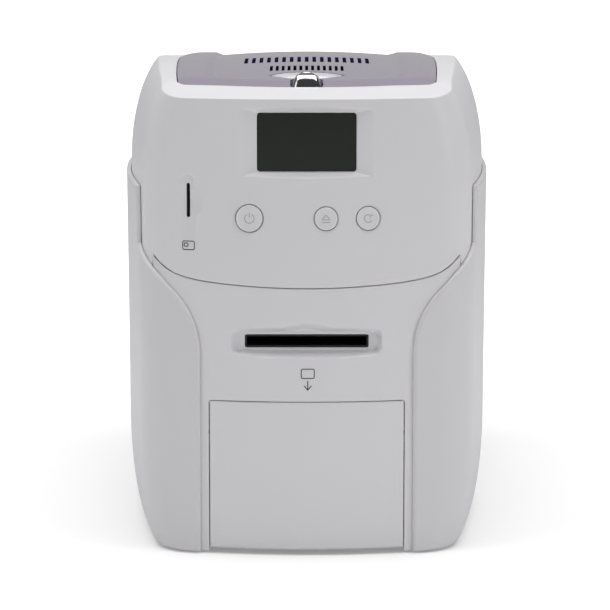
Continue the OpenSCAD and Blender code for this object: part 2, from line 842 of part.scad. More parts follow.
// Coil spring between the well's floor and the button, one unbroken wire.
module button_spring() {
    low = bezel_floor + 3;
    high = lip_top - 1.1;
    coil_r = 2.1;
    wire_r = 0.35;
    turns = 6;
    ring = 8;
    around = 6;
    steps = turns * ring;
    pts = [for (i = [0 : steps], j = [0 : around - 1]) let (
        a = 360 * i / ring,
        b = 360 * j / around,
        r = coil_r + wire_r * cos(b),
        rise = (high - low - 2 * wire_r) / steps
    ) [r * cos(a), r * sin(a), low + wire_r + rise * i + wire_r * sin(b)]];
    sides = [for (i = [0 : steps - 1], j = [0 : around - 1]) let (
        k = (j + 1) % around, p = i * around, q = p + around
    ) each [[p + j, p + k, q + k], [p + j, q + k, q + j]]];
    caps = [[for (j = [around - 1 : -1 : 0]) j], [for (j = [0 : around - 1]) steps * around + j]];
    color("silver") translate([0, button_y, 0]) polyhedron(pts, concat(sides, caps));
}

// ---- Display, board and keys -------------------------------------------------------

module lcd_window() {
    color([0.16, 0.18, 0.17]) translate([0, 0, lcd_z])
        along_y(lcd_floor + 0.3, lcd_floor + 2.3) round_rect(lcd_w, lcd_h, 1.2);
}

module lcd_module() {
    color("dimgray") difference() {
        box(-lcd_w / 2 - 5, lcd_w / 2 + 5, lcd_floor + wall + 0.1, board_y - 0.1,
            lcd_z - lcd_h / 2 - 4, lcd_z + lcd_h / 2 + 4);
        box(-lcd_w / 2 + 2, lcd_w / 2 - 2, board_y - 1.6, board_y, lcd_z - 10, lcd_z + 10);
    }
}

module front_board() {
    color("darkgreen") difference() {
        box(-50, 47, board_y, board_y + board_t, key_z - 12, lcd_z + 18.4);
        for (p = boss_at) y_bar(board_y - 1, board_y + 3, p[0], p[1], 1.3, 24);
    }
    color("silver") for (p = boss_at) {
        y_bar(board_y - boss_bore + 0.3, board_y + board_t + 0.1, p[0], p[1], 1.1, 24);
        y_bar(board_y + board_t, board_y + board_t + 1.4, p[0], p[1], 2.4, 24);
    }
}

switch_h = 3;

module key_switches() {
    color("black") for (k = keys) {
        box(k[0] - 3, k[0] + 3, board_y - switch_h, board_y - 0.05, key_z - 3, key_z + 3);
    }
}

// A key: crowned cap, a flange behind the front wall and a stem to its switch.
module key(at) {
    face = bow_y(at[0], skin) - 0.6;
    behind = bow_y(abs(at[0]) + at[1] + 2, skin) + wall + 0.5;
    stem_end = board_y - switch_h - key_travel - 0.2;
    color("whitesmoke") {
        intersection() {
            y_bar(face, behind, at[0], key_z, at[1]);
            translate([at[0], face + 40, key_z]) sphere(40, $fn = 120);
        }
        y_bar(behind - 0.2, behind + 1, at[0], key_z, at[1] + 1.2);
        y_bar(behind, stem_end, at[0], key_z, key_stem_r, 32);
    }
}

module power_key() { key(keys[0]); }

module eject_key() { key(keys[1]); }

module ribbon_key() { key(keys[2]); }

// Black chip card reader behind the well: a housing with the upright slot through it.
module chip_reader() {
    color([0.08, 0.08, 0.08]) at_chip() difference() {
        along_y(wall + 0.2, wall + 7) square([12, chip_len + 12], center = true);
        along_y(wall - 1, wall + 5.5) square([chip_gap, chip_len], center = true);
    }
}

// ---- Card slot, door and bin ---------------------------------------------------------

throat_back = front + 30;

// Black guide behind the front panel; its nose fills the slot and leads the card in.
module card_throat() {
    lip = 0.5;
    color([0.06, 0.06, 0.06]) translate([0, 0, slot_z]) difference() {
        union() {
            along_y(dish_floor + 0.4, dish_floor + wall + 1) round_rect(slot_w + 0.4, slot_h + 0.4, 1);
            along_y(dish_floor + wall + 0.2, throat_back) round_rect(slot_w + 8, slot_h + 6, 2);
        }
        along_y(front, throat_back + 1) square([slot_w - 2 * lip, slot_h - 2 * lip], center = true);
    }
}

door_y = front + door_axis_in;
door_low = sill_z + 1.4;
ear_r = 2.6;
ear_x = 30;
ear_w = 5;
lug_w = 5;

// Part of a ring that follows the bow of the front, half wide to each side.
module bow_band(inset, thick, half) {
    intersection() {
        translate([0, front + front_r]) difference() {
            circle(front_r - inset, $fn = 150);
            circle(front_r - inset - thick, $fn = 150);
        }
        translate([-half, front]) square([2 * half, 40]);
    }
}

// Door with two ears inside its foot, relieved where the tray's lugs stand.
module bin_door() {
    edge = 1.5;
    color("whitesmoke") difference() {
        union() {
            translate([0, 0, door_low]) linear_extrude(edge)
                bow_band(skin + edge, wall - edge, door_half);
            translate([0, 0, door_low + edge]) linear_extrude(door_top - door_low - edge)
                bow_band(skin, wall, door_half);
            both_sides() x_bar(ear_x, ear_x + ear_w, door_y, door_axis_z, ear_r);
            both_sides() box(ear_x, ear_x + ear_w, bow_y(ear_x, skin) + 1, door_y, door_axis_z,
                door_axis_z + 9);
        }
        both_sides() x_bar(ear_x - lug_w - 1, ear_x - 0.01, door_y, door_axis_z, ear_r + part_gap);
        both_sides() x_bar(ear_x - 1, ear_x + ear_w + 1, door_y, door_axis_z,
            door_pin_r + shaft_play, 32);
    }
}

module door_pins() {
    color("silver") both_sides()
        x_bar(ear_x - lug_w, ear_x + ear_w, door_y, door_axis_z, door_pin_r, 32);
}

// Lugs on the tray that carry the door's pins.
module door_lugs() {
    x1 = ear_x - part_gap;
    both_sides() difference() {
        union() {
            x_bar(x1 - lug_w + 0.6, x1, door_y, door_axis_z, ear_r);
            box(x1 - lug_w + 0.6, x1, door_y, door_y + knee + 3, door_axis_z - 0.8,
                door_axis_z + ear_r);
            box(x1 - lug_w + 0.6, x1, door_y + knee, door_y + knee + 3, foot_h, door_axis_z);
        }
        x_bar(x1 - lug_w, x1 + 1, door_y, door_axis_z, door_pin_r + shaft_play, 32);
    }
}

bin_y = door_y + 9;
bin_z = tray_top + 10;

// Open box that catches the printed cards, on two runners; its front wall is low.
module card_bin() {
    x = bin_w / 2;
    color([0.85, 0.85, 0.87]) {
        difference() {
            box(-x - bin_wall, x + bin_wall, bin_y, bin_y + bin_len + 2 * bin_wall,
                bin_z, bin_z + bin_h + bin_wall);
            box(-x, x, bin_y + bin_wall, bin_y + bin_len + bin_wall,
                bin_z + bin_wall, bin_z + bin_h + 9);
            box(-x, x, bin_y - 1, bin_y + 9, bin_z + 14, bin_z + bin_h + 9);
            y_bar(bin_y - 1, bin_y + 9, 0, bin_z + 14, 11);
        }
        both_sides() box(x - 4, x, bin_y + 6, bin_y + bin_len, tray_top + 0.1, bin_z + 0.5);
    }
}

// ---- Chassis and rollers ---------------------------------------------------------------

feed_y = throat_back + 10;
platen_y = feed_y + 96;
exit_y = platen_y + 90;
drive_z = card_low - roller_r;
pinch_z = slot_z + card_t / 2 + pinch_r;
driven = [[feed_y, drive_z], [platen_y, drive_z], [exit_y, drive_z]];
pinched = [[feed_y, pinch_z], [exit_y, pinch_z]];
bushed = concat(driven, pinched);
motor_y = platen_y + 50;
motor_z = tray_top + 45;
rod_z = 155;
rod_r = 3;
rods = [[feed_y + 18, rod_z - 0.2], [exit_y + 6, rod_z - 0.2], [exit_y + 6, 40], [feed_y + 60, 78]];
head_pivot = [exit_y - 12, rod_z - 4];

// Steel side plate: a foot flange, cut-outs to save weight and a bore for each shaft.
module chassis_plate(holes) {
    plate_front = feed_y - 9;
    plate_rear = exit_y + 34;
    color("silver") difference() {
        union() {
            along_x(plate_x, plate_x + plate_t) difference() {
                offset(r = 5, $fn = 32) offset(delta = -5) polygon([
                    [plate_front + 24, tray_top + 0.1], [plate_rear, tray_top + 0.1],
                    [plate_rear, 168], [plate_rear - 26, 186], [feed_y + 20, 186],
                    [plate_front, 140], [plate_front, 80], [plate_front + 24, 50]
                ]);
                for (at = [[platen_y - 34, 146], [platen_y + 4, 146], [platen_y - 40, 44],
                           [platen_y - 4, 44], [exit_y + 14, 76]])
                    translate(at) offset(r = 6, $fn = 32) square([16, 16], center = true);
            }
            box(plate_x, plate_x + 9, plate_front + 34, plate_rear - 10,
                tray_top + 0.1, tray_top + 0.1 + plate_t);
        }
        for (p = bushed) x_bar(plate_x - 1, plate_x + plate_t + 1, p[0], p[1], bush_r);
        for (p = rods) x_bar(plate_x - 1, plate_x + plate_t + 1, p[0], p[1], 1.6, 24);
        x_bar(plate_x - 1, plate_x + plate_t + 1, head_pivot[0], head_pivot[1],
            rod_r + shaft_play);
        for (p = holes) x_bar(plate_x - 1, plate_x + plate_t + 1, p[0], p[1], p[2], 32);
    }
}

module left_chassis_plate() {
    mirror([1, 0, 0]) chassis_plate([[motor_y, motor_z, 11.2]]);
}

module right_chassis_plate() {
    chassis_plate([]);
}

// Tie rods between the plates, with a screw head outside at each end.
module cross_rods() {
    color("silver") for (p = rods) {
        x_bar(-plate_x + 0.02, plate_x - 0.02, p[0], p[1], rod_r);
        both_sides() x_bar(plate_x - 0.5, plate_x + plate_t + 0.1, p[0], p[1], 1.5, 24);
        both_sides() x_bar(plate_x + plate_t + 0.05, plate_x + plate_t + 1.8, p[0], p[1], 3, 24);
    }
}

// Flanged plain bushes pressed into the plates.
module shaft_bushes() {
    color("goldenrod") both_sides() for (p = bushed) difference() {
        union() {
            x_bar(plate_x, plate_x + plate_t, p[0], p[1], bush_r);
            x_bar(plate_x - 1, plate_x, p[0], p[1], bush_r + 1.2);
        }
        x_bar(plate_x - 2, plate_x + plate_t + 1, p[0], p[1], shaft_r + shaft_play);
    }
}

pulley_x = plate_x + plate_t + 1.5;

// A shaft in its bushes with a rubber sleeve between the plates.
module roller(at, r, left_end) {
    color("silver") x_bar(-left_end, plate_x + plate_t + 1, at[0], at[1], shaft_r);
    color([0.2, 0.2, 0.22]) difference() {
        x_bar(-film_w / 2, film_w / 2, at[0], at[1], r, 60);
        x_bar(-film_w, film_w, at[0], at[1], shaft_r);
    }
}

module feed_roller() { roller(driven[0], roller_r, pulley_x + belt_w + 2.6); }

module platen_roller() { roller(driven[1], roller_r, pulley_x + belt_w + 2.6); }

module exit_roller() { roller(driven[2], roller_r, pulley_x + belt_w + 2.6); }

module front_pinch_roller() { roller(pinched[0], pinch_r, plate_x + plate_t + 1); }

module rear_pinch_roller() { roller(pinched[1], pinch_r, plate_x + plate_t + 1); }

// Flanged belt pulley on the left, centred on (y, z), with fine grooves for the belt.
module pulley(at, r, bore) {
    teeth = 2 * floor(r * PI / 2) - 1;
    x1 = -pulley_x;
    x0 = x1 - belt_w - 2;
    color([0.3, 0.3, 0.32]) difference() {
        union() {
            x_bar(x0, x1, at[0], at[1], r);
            for (x = [x0, x1 - 0.8]) x_bar(x, x + 0.8, at[0], at[1], r + belt_t + 0.6);
        }
        for (i = [0 : teeth - 1]) translate([0, at[0], at[1]]) rotate([360 * i / teeth, 0, 0])
            translate([x0 + 1.2, r - 0.5, -0.45]) cube([belt_w - 0.4, 1, 0.9]);
        x_bar(x0 - 1, x1 + 1, at[0], at[1], bore);
    }
}

module feed_pulley() { pulley(driven[0], pulley_r, shaft_r); }

module platen_pulley() { pulley(driven[1], pulley_r, shaft_r); }

module exit_pulley() { pulley(driven[2], pulley_r, shaft_r); }

// The motor's pulley with the shaft that carries it.
module motor_pulley() {
    pulley([motor_y, motor_z], motor_pulley_r, shaft_r - 0.1);
    color("silver") x_bar(-pulley_x - belt_w - 2, -plate_x + 6, motor_y, motor_z, shaft_r);
}

// The belt's loop round the pulleys, drawn taut.
module drive_belt() {
    at = [driven[0], driven[2], [motor_y, motor_z]];
    r = [pulley_r, pulley_r, motor_pulley_r];
    module loop(grow) {
        hull() for (i = [0 : 2]) translate(at[i]) circle(r[i] + grow, $fn = 60);
    }
    color("black") along_x(-pulley_x - belt_w - 1, -pulley_x - 1) difference() {
        loop(seam_gap + belt_t);
        loop(seam_gap);
    }
}

// Square stepping motor inside the left plate, its boss through the plate.
module drive_motor() {
    color([0.25, 0.25, 0.27]) difference() {
        union() {
            translate([-plate_x + 0.05, motor_y, motor_z]) rotate([0, 90, 0])
                linear_extrude(motor_len) rotate(45) intersection() {
                    rotate(45) square(motor_side, center = true);
                    square(motor_side * 1.29, center = true);
                }
            x_bar(-plate_x - 1.9, -plate_x + 1, motor_y, motor_z, 11);
        }
        x_bar(-plate_x - 3, -plate_x + 6.3, motor_y, motor_z, shaft_r + shaft_play);
        for (x = [8, motor_len - 9]) translate([-plate_x + x, motor_y, motor_z]) rotate([0, 90, 0])
            difference() {
                cylinder(r = 40, h = 0.8, $fn = 48);
                translate([0, 0, -1]) cylinder(r = motor_side * 0.49, h = 3, $fn = 48);
            }
    }
}

// ---- Print head and ribbon ----------------------------------------------------------------

head_top = 134;
arm_x = plate_x - 20;

// Swinging carrier: two cheeks on a pivot rod, bridged over the print head.
module head_arm() {
    color([0.75, 0.76, 0.78]) {
        both_sides() along_x(arm_x, arm_x + 3) offset(r = 4, $fn = 32) polygon([
            head_pivot, [platen_y + 30, head_top + 12], [platen_y + 4, head_top + 4],
            [platen_y - 4, head_top + 4], [platen_y - 4, head_top + 8],
            [platen_y + 20, head_top + 18], head_pivot + [-6, 2]
        ]);
        box(-arm_x, arm_x, platen_y - 8, platen_y + 8, head_top + 0.1, head_top + 3);
        x_bar(-plate_x - plate_t, plate_x + plate_t, head_pivot[0], head_pivot[1], rod_r);
    }
}

// Finned thermal head that narrows to its printing edge above the platen.
module print_head() {
    edge_z = slot_z + card_t / 2 + 1.1;
    color([0.62, 0.64, 0.68]) difference() {
        along_x(-film_w / 2 - 4, film_w / 2 + 4) polygon([
            [platen_y - 1.5, edge_z], [platen_y + 1.5, edge_z], [platen_y + 7, edge_z + 13],
            [platen_y + 7, head_top], [platen_y - 7, head_top], [platen_y - 7, edge_z + 13]
        ]);
        for (i = [-5 : 5]) box(6 * i - 1.6, 6 * i + 1.6, platen_y - 8, platen_y - 3,
            edge_z + 15, head_top - 2);
    }
}

supply_at = [platen_y + 66, 173];
takeup_at = [platen_y - 56, 173];
journal_r = 4;
cheek_x = film_w / 2 + 3;
cheek_t = 2;

// Core with journals at its ends, carrying a roll of film of radius r.
module spool(at, r) {
    color("white") {
        x_bar(-cheek_x + 0.3, cheek_x - 0.3, at[0], at[1], core_r);
        x_bar(-cheek_x - cheek_t - 2, cheek_x + cheek_t + 2, at[0], at[1], journal_r);
    }
    color([0.15, 0.13, 0.2]) difference() {
        x_bar(-film_w / 2, film_w / 2, at[0], at[1], r, 60);
        x_bar(-film_w, film_w, at[0], at[1], core_r);
    }
}

module supply_spool() { spool(supply_at, supply_r); }

module takeup_spool() { spool(takeup_at, takeup_r); }

// Film from the supply roll down under the head's edge and up to the take-up roll.
module ribbon_film() {
    t = 0.2;
    low = slot_z + card_t / 2 + 0.5;
    a = supply_at + (supply_r + 0.3) * [0.59, -0.81];
    b = takeup_at + (takeup_r + 0.3) * [-0.69, -0.725];
    color([0.2, 0.16, 0.3]) along_x(-film_w / 2, film_w / 2) polygon([
        a, [platen_y + 2, low], [platen_y - 2, low], b,
        b + [0, t * 1.4], [platen_y - 2, low + t], [platen_y + 2, low + t], a + [0, t * 1.4]
    ]);
}

// Lift-out frame: two cheeks with bores for the spools, two tie bars and a handle.
module ribbon_cassette() {
    base = rod_z + rod_r - 0.1;
    top = 194;
    color([0.55, 0.55, 0.6]) {
        both_sides() difference() {
            along_x(cheek_x, cheek_x + cheek_t) difference() {
                offset(r = 4, $fn = 32) offset(delta = -4) polygon([
                    [rods[0][0] - 6, base], [rods[0][0] + 8, base], [takeup_at[0] + 8, base + 2],
                    [platen_y - 24, base + 12], [platen_y + 24, base + 12],
                    [supply_at[0] - 16, base + 2], [rods[1][0] - 8, base], [rods[1][0] + 6, base],
                    [rods[1][0] + 6, top - 8], [supply_at[0] - 8, top], [takeup_at[0] + 6, top],
                    [rods[0][0] - 6, top - 16]
                ]);
            }
            for (p = [supply_at, takeup_at])
                x_bar(cheek_x - 1, cheek_x + cheek_t + 1, p[0], p[1], journal_r + 0.08);
        }
        for (y = [platen_y - 20, platen_y + 20])
            box(-cheek_x, cheek_x, y - 4, y + 4, top - 4, top - 1);
        box(-12, 12, platen_y - 16, platen_y + 16, top - 4, top - 1);
    }
}

// ---- Boards, ports and fan ------------------------------------------------------------------

// Control board on standoffs outside the right plate, with its larger components.
module main_board() {
    x0 = plate_x + plate_t + 5;
    y0 = feed_y + 46;
    y1 = exit_y + 20;
    z0 = tray_top + 26;
    z1 = z0 + 90;
    color("darkgreen") box(x0, x0 + board_t, y0, y1, z0, z1);
    color("silver") for (y = [y0 + 6, y1 - 6], z = [z0 + 6, z1 - 6])
        x_bar(plate_x + plate_t + 0.02, x0 + 0.2, y, z, 2.5, 24);
    color([0.12, 0.12, 0.12]) {
        box(x0 + 1, x0 + board_t + 2, y0 + 40, y0 + 62, z0 + 40, z0 + 62);
        box(x0 + 1, x0 + board_t + 2, y0 + 84, y0 + 98, z0 + 36, z0 + 58);
        for (i = [0 : 3]) box(x0 + 1, x0 + board_t + 6, y0 + 24 + 24 * i, y0 + 40 + 24 * i,
            z0 + 4, z0 + 10);
    }
    color("slateblue") for (i = [0 : 2])
        x_bar(x0 + 1, x0 + board_t + 8, y0 + 20 + 13 * i, z1 - 14, 5, 32);
}

port_y = back - skin - 0.6;

// Board on the tray behind the rear panel that carries the sockets and the switch frame.
module io_board() {
    z0 = io_top - board_t - 0.2;
    color("darkgreen") box(ports[0][0] - 4, ports[3][0] + 20, port_y - 44, port_y - wall - 1, z0, z0 + board_t);
    color("silver") for (x = [ports[0][0], ports[3][0] + 16], y = [port_y - 40, port_y - 12])
        translate([x, y, tray_top + 0.02]) cylinder(r = 2.5, h = z0 - tray_top + 0.2, $fn = 24);
    for (i = [0 : 3]) let (p = ports[i])
        color(i == 0 || i == 3 ? [0.1, 0.1, 0.1] : [0.75, 0.75, 0.78])
        difference() {
            box(p[0], p[0] + p[1], port_y - port_depth, port_y,
                io_top - socket_sink, io_top + p[2]);
            if (i == 0) box(p[0] + 1.5, p[0] + p[1] - 1.5, port_y - 11, port_y + 1,
                io_top + 1.5, io_top + p[2] - 1.5);
            if (i == 1) box(p[0] + 1.2, p[0] + p[1] - 1.2, port_y - 10, port_y + 1,
                io_top + 1.4, io_top + p[2] - 1.4);
            if (i == 2) box(p[0] + 2, p[0] + p[1] - 2, port_y - 12, port_y + 1,
                io_top + 2.2, io_top + p[2] - 4);
            if (i == 3) y_bar(port_y - 10, port_y + 1, p[0] + p[1] / 2, io_top + p[2] / 2, 3.6, 32);
        }
    color([0.75, 0.75, 0.78]) let (p = ports[1])
        box(p[0] + 3.2, p[0] + p[1] - 3.2, port_y - 11, port_y - 2, io_top + 4, io_top + p[2] - 4);
    color([0.75, 0.75, 0.78]) let (p = ports[3])
        y_bar(port_y - 11, port_y - 1.5, p[0] + p[1] / 2, io_top + p[2] / 2, 1, 24);
}

rocker_axis_y = port_y - 5;

// Rocker of the mains switch: two faces that meet at a shallow angle over its pivot.
module power_rocker() {
    p = ports[0];
    z = io_top + p[2] / 2;
    half = p[2] / 2 - 2.4;
    x0 = p[0] + 1.9;
    x1 = p[0] + p[1] - 1.9;
    color([0.08, 0.08, 0.08]) translate([0, rocker_axis_y, z]) {
        along_x(x0, x1) polygon([
            [-1, -half * 0.6], [2.2, -half], [4.4, -half + 0.4], [3, 0],
            [1.6, half - 0.2], [0.2, half - 0.4], [-1.6, half * 0.6]
        ]);
        x_bar(x0 - 0.3, x1 + 0.3, 0, 0, 1.4, 32);
    }
}

fan_y = back - skin - wall - seam_gap;

module fan_frame() {
    r = fan_side / 2 - 1.8;
    color([0.1, 0.1, 0.1]) difference() {
        box(fan_x - fan_side / 2, fan_x + fan_side / 2, fan_y - fan_t, fan_y,
            fan_z - fan_side / 2, fan_z + fan_side / 2);
        difference() {
            y_bar(fan_y - fan_t + 2, fan_y + 1, fan_x, fan_z, r, 60);
            y_bar(fan_y - fan_t, fan_y - fan_t + 4, fan_x, fan_z, 8, 40);
        }
        difference() {
            y_bar(fan_y - fan_t - 1, fan_y - fan_t + 3, fan_x, fan_z, r, 60);
            y_bar(fan_y - fan_t - 1, fan_y - fan_t + 4, fan_x, fan_z, 8, 40);
            for (a = [0, 90]) translate([fan_x, fan_y - fan_t + 1, fan_z]) rotate([0, a, 0])
                cube([fan_side, 2, 3], center = true);
        }
        for (x = [-1, 1], z = [-1, 1]) y_bar(fan_y - fan_t - 1, fan_y + 1,
            fan_x + x * (fan_side / 2 - 4), fan_z + z * (fan_side / 2 - 4), 1.8, 24);
        y_bar(fan_y - fan_t - 1, fan_y - fan_t + 9, fan_x, fan_z, 1.5 + shaft_play, 32);
    }
}

// Hub with pitched blades on a pin that runs in the frame's hub.
module fan_rotor() {
    hub_r = 9.5;
    y0 = fan_y - fan_t + 4.4;
    color([0.15, 0.15, 0.16]) {
        y_bar(y0, fan_y - 1, fan_x, fan_z, hub_r);
        y_bar(fan_y - fan_t + 0.3, y0, fan_x, fan_z, 1.5, 32);
        for (i = [0 : fan_blades - 1]) translate([fan_x, (y0 + fan_y - 1) / 2, fan_z])
            rotate([0, 360 * i / fan_blades, 0]) translate([hub_r - 1, 0, 0]) rotate([38, 0, 0])
                translate([0, -0.6, -6]) cube([fan_side / 2 - 1.8 - hub_r, 1.2, 12]);
    }
}

upper_housing();
lower_front_panel();
left_side_cover();
right_side_cover();
rear_panel();
base_tray();
rubber_feet();
housing_screws();
top_lid();
lid_hinge_bar();
hinge_brackets();
hinge_pins();
lid_catches();
latch_bezel();
release_button();
button_spring();
lcd_window();
lcd_module();
front_board();
key_switches();
power_key();
eject_key();
ribbon_key();
chip_reader();
card_throat();
bin_door();
door_pins();
card_bin();
left_chassis_plate();
right_chassis_plate();
cross_rods();
shaft_bushes();
feed_roller();
platen_roller();
exit_roller();
front_pinch_roller();
rear_pinch_roller();
feed_pulley();
platen_pulley();
exit_pulley();
drive_motor();
motor_pulley();
drive_belt();
head_arm();
print_head();
supply_spool();
takeup_spool();
ribbon_film();
ribbon_cassette();
main_board();
io_board();
power_rocker();
fan_frame();
fan_rotor();
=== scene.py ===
"""Desktop card printer: smooth mouldings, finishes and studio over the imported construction.

Lengths are millimetres inside the geometry classes and become metres when a mesh is made.
"""

import logging
import math
from dataclasses import dataclass, field
from enum import Enum
from typing import Callable, Sequence

import bpy
import numpy as np
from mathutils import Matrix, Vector


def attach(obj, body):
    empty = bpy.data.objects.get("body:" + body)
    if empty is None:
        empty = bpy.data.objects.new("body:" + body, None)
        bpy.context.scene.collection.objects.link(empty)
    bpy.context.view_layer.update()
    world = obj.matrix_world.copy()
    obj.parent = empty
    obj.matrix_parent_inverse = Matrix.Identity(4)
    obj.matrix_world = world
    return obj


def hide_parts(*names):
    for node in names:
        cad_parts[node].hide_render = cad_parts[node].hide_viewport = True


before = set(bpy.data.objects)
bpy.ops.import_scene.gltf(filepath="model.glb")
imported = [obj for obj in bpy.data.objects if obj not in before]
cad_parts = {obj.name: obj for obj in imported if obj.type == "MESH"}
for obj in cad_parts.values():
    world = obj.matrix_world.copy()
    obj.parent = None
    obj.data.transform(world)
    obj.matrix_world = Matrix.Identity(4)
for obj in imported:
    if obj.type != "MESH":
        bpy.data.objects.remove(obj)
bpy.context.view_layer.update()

LOG = logging.getLogger("card_printer")
MM = 0.001
FAR = 999.0
Array = np.ndarray


# ---- Surfaces on grids ---------------------------------------------------------------


def cluster(*stops: tuple[float, float]) -> Array:
    """Grid lines between stops, each given as a place and the spacing used up to it.

    Args:
        stops: pairs (end, spacing); the first pair is the start and its spacing is unused.

    Returns:
        The sorted places, every stop among them.
    """
    lines = [np.array([stops[0][0]])]
    for (start, _), (end, step) in zip(stops[:-1], stops[1:]):
        count = max(1, int(round((end - start) / step)))
        lines.append(np.linspace(start, end, count + 1)[1:])
    return np.concatenate(lines)


def edge_lines(reach: float) -> Array:
    """Offsets from a panel's rim that crowd towards it and end at reach."""
    return reach * np.array([0.0, 0.02, 0.06, 0.13, 0.22, 0.34, 0.5, 0.72, 1.0])


def quarter_round(distance: Array, radius: float) -> Array:
    """Drop of a rounded edge: r - sqrt(r^2 - (r - d)^2) within r of the rim, else nothing."""
    near = np.clip(radius - distance, 0.0, radius)
    return radius - np.sqrt(np.maximum(radius**2 - near**2, 0.0))


def box_distance(x: Array, z: Array, width: float, height: float, radius: float) -> Array:
    """Signed distance from a rectangle with round corners about the middle, negative inside."""
    qx = np.abs(x) - (width / 2 - radius)
    qz = np.abs(z) - (height / 2 - radius)
    outside = np.hypot(np.maximum(qx, 0), np.maximum(qz, 0))
    return outside + np.minimum(np.maximum(qx, qz), 0) - radius


def soft_max(a: Array, b: Array, radius: float) -> Array:
    """Larger of a and b, the crease between them eased over about radius."""
    gap = np.maximum(radius - np.abs(a - b), 0.0)
    return np.maximum(a, b) + gap**2 / (4 * radius)


def mesh_object(name: str, points: Array, faces: Array, crease: float = 38.0) -> bpy.types.Object:
    """Makes an object from millimetre points and equal-sided faces.

    Args:
        name: name of the object.
        points: (n, 3) places.
        faces: (k, 3) or (k, 4) indices, turned so that the closed volume is positive.
        crease: angle in degrees above which an edge stays sharp.

    Returns:
        The linked object.
    """
    used, back = np.unique(faces, return_inverse=True)
    faces = back.reshape(faces.shape)
    points = points[used]
    halves = [[0, 1, 2], [0, 2, 3]][:faces.shape[1] - 2]
    a, b, c = points[np.concatenate([faces[:, half] for half in halves])].transpose(1, 0, 2)
    if np.einsum("ij,ij->i", a, np.cross(b, c)).sum() < 0:
        faces = faces[:, ::-1]
    mesh = bpy.data.meshes.new(name)
    mesh.from_pydata((points * MM).tolist(), [], faces.tolist())
    mesh.shade_smooth()
    mesh.set_sharp_from_angle(angle=math.radians(crease))
    mesh.update()
    made = bpy.data.objects.new(name, mesh)
    bpy.context.scene.collection.objects.link(made)
    return made


def nearest_zero(a: Array, b: Array,
                 distance: Callable[[Array, Array], Array]) -> tuple[Array, Array]:
    """Moves places along the slope of a distance until it is nothing, in four steps."""
    step = 1e-3
    for _ in range(4):
        d = distance(a, b)
        ga = (distance(a + step, b) - distance(a - step, b)) / (2 * step)
        gb = (distance(a, b + step) - distance(a, b - step)) / (2 * step)
        size = np.maximum(ga**2 + gb**2, 1e-6)
        a = a - d * ga / size
        b = b - d * gb / size
    return a, b


class Sheet:
    """Wall of moulded plastic over a grid: an outer and an inner skin joined at every rim.

    The grid's two parameters a and b are places on the panel. A cut-out takes cells away
    and draws the grid's points beside it onto its outline.
    """

    def __init__(self, a: Array, b: Array, wrap: bool = False) -> None:
        """Starts a whole sheet.

        Args:
            a: first parameter at each grid point, rows by columns.
            b: second parameter at each grid point.
            wrap: whether the last column is the first one again.
        """
        self.a = a.copy()
        self.b = b.copy()
        self.wrap = wrap
        self.keep = np.ones((a.shape[0] - 1, a.shape[1] - 1), bool)

    def cut(self, distance: Callable[[Array, Array], Array]) -> None:
        """Cuts where the signed distance is negative and fits the rim to its zero line."""
        mid = [(g[1:, 1:] + g[:-1, 1:] + g[1:, :-1] + g[:-1, :-1]) / 4 for g in (self.a, self.b)]
        gone = (distance(mid[0], mid[1]) < 0) & self.keep
        touched = np.zeros(self.a.shape, int)
        kept = np.zeros(self.a.shape, int)
        for rows in (slice(0, -1), slice(1, None)):
            for cols in (slice(0, -1), slice(1, None)):
                touched[rows, cols] += gone
                kept[rows, cols] += ~gone & self.keep
        rim = (touched > 0) & (kept > 0)
        self.a[rim], self.b[rim] = nearest_zero(self.a[rim], self.b[rim], distance)
        self.keep &= ~gone

    def rim_points(self) -> Array:
        """Mask of grid points on any rim of a cut-out or of the sheet."""
        count = np.zeros(self.a.shape, int)
        for rows in (slice(0, -1), slice(1, None)):
            for cols in (slice(0, -1), slice(1, None)):
                count[rows, cols] += self.keep
        return (count > 0) & (count < 4)

    def faces(self) -> Array:
        """Quads of both skins and the rim walls, the inner skin's points after the outer's."""
        rows, cols = self.a.shape
        index = np.arange(rows * cols).reshape(rows, cols)
        if self.wrap:
            index[:, -1] = index[:, 0]
        inner = index + rows * cols
        cells = np.stack([index[:-1, :-1], index[:-1, 1:], index[1:, 1:], index[1:, :-1]], -1)
        under = np.stack([inner[:-1, :-1], inner[1:, :-1], inner[1:, 1:], inner[:-1, 1:]], -1)
        parts = [cells[self.keep], under[self.keep]]
        pad = np.pad(self.keep, 1)
        if self.wrap:
            pad[:, 0] = pad[:, -2]
            pad[:, -1] = pad[:, 1]
        across = pad[1:, 1:-1].astype(int) - pad[:-1, 1:-1]
        walls = np.stack([index[:, :-1], inner[:, :-1], inner[:, 1:], index[:, 1:]], -1)
        parts += [walls[across > 0], walls[across < 0][:, ::-1]]
        along = pad[1:-1, 1:].astype(int) - pad[1:-1, :-1]
        if self.wrap:
            along[:, -1] = 0
        walls = np.stack([index[:-1], index[1:], inner[1:], inner[:-1]], -1)
        parts += [walls[along > 0], walls[along < 0][:, ::-1]]
        return np.concatenate(parts)

    def build(self, name: str, outer: Array, inner: Array,
              crease: float = 38.0) -> bpy.types.Object:
        """Makes the closed wall from the places of the two skins, each rows by columns by 3."""
        points = np.concatenate([outer.reshape(-1, 3), inner.reshape(-1, 3)])
        return mesh_object(name, points, self.faces(), crease)


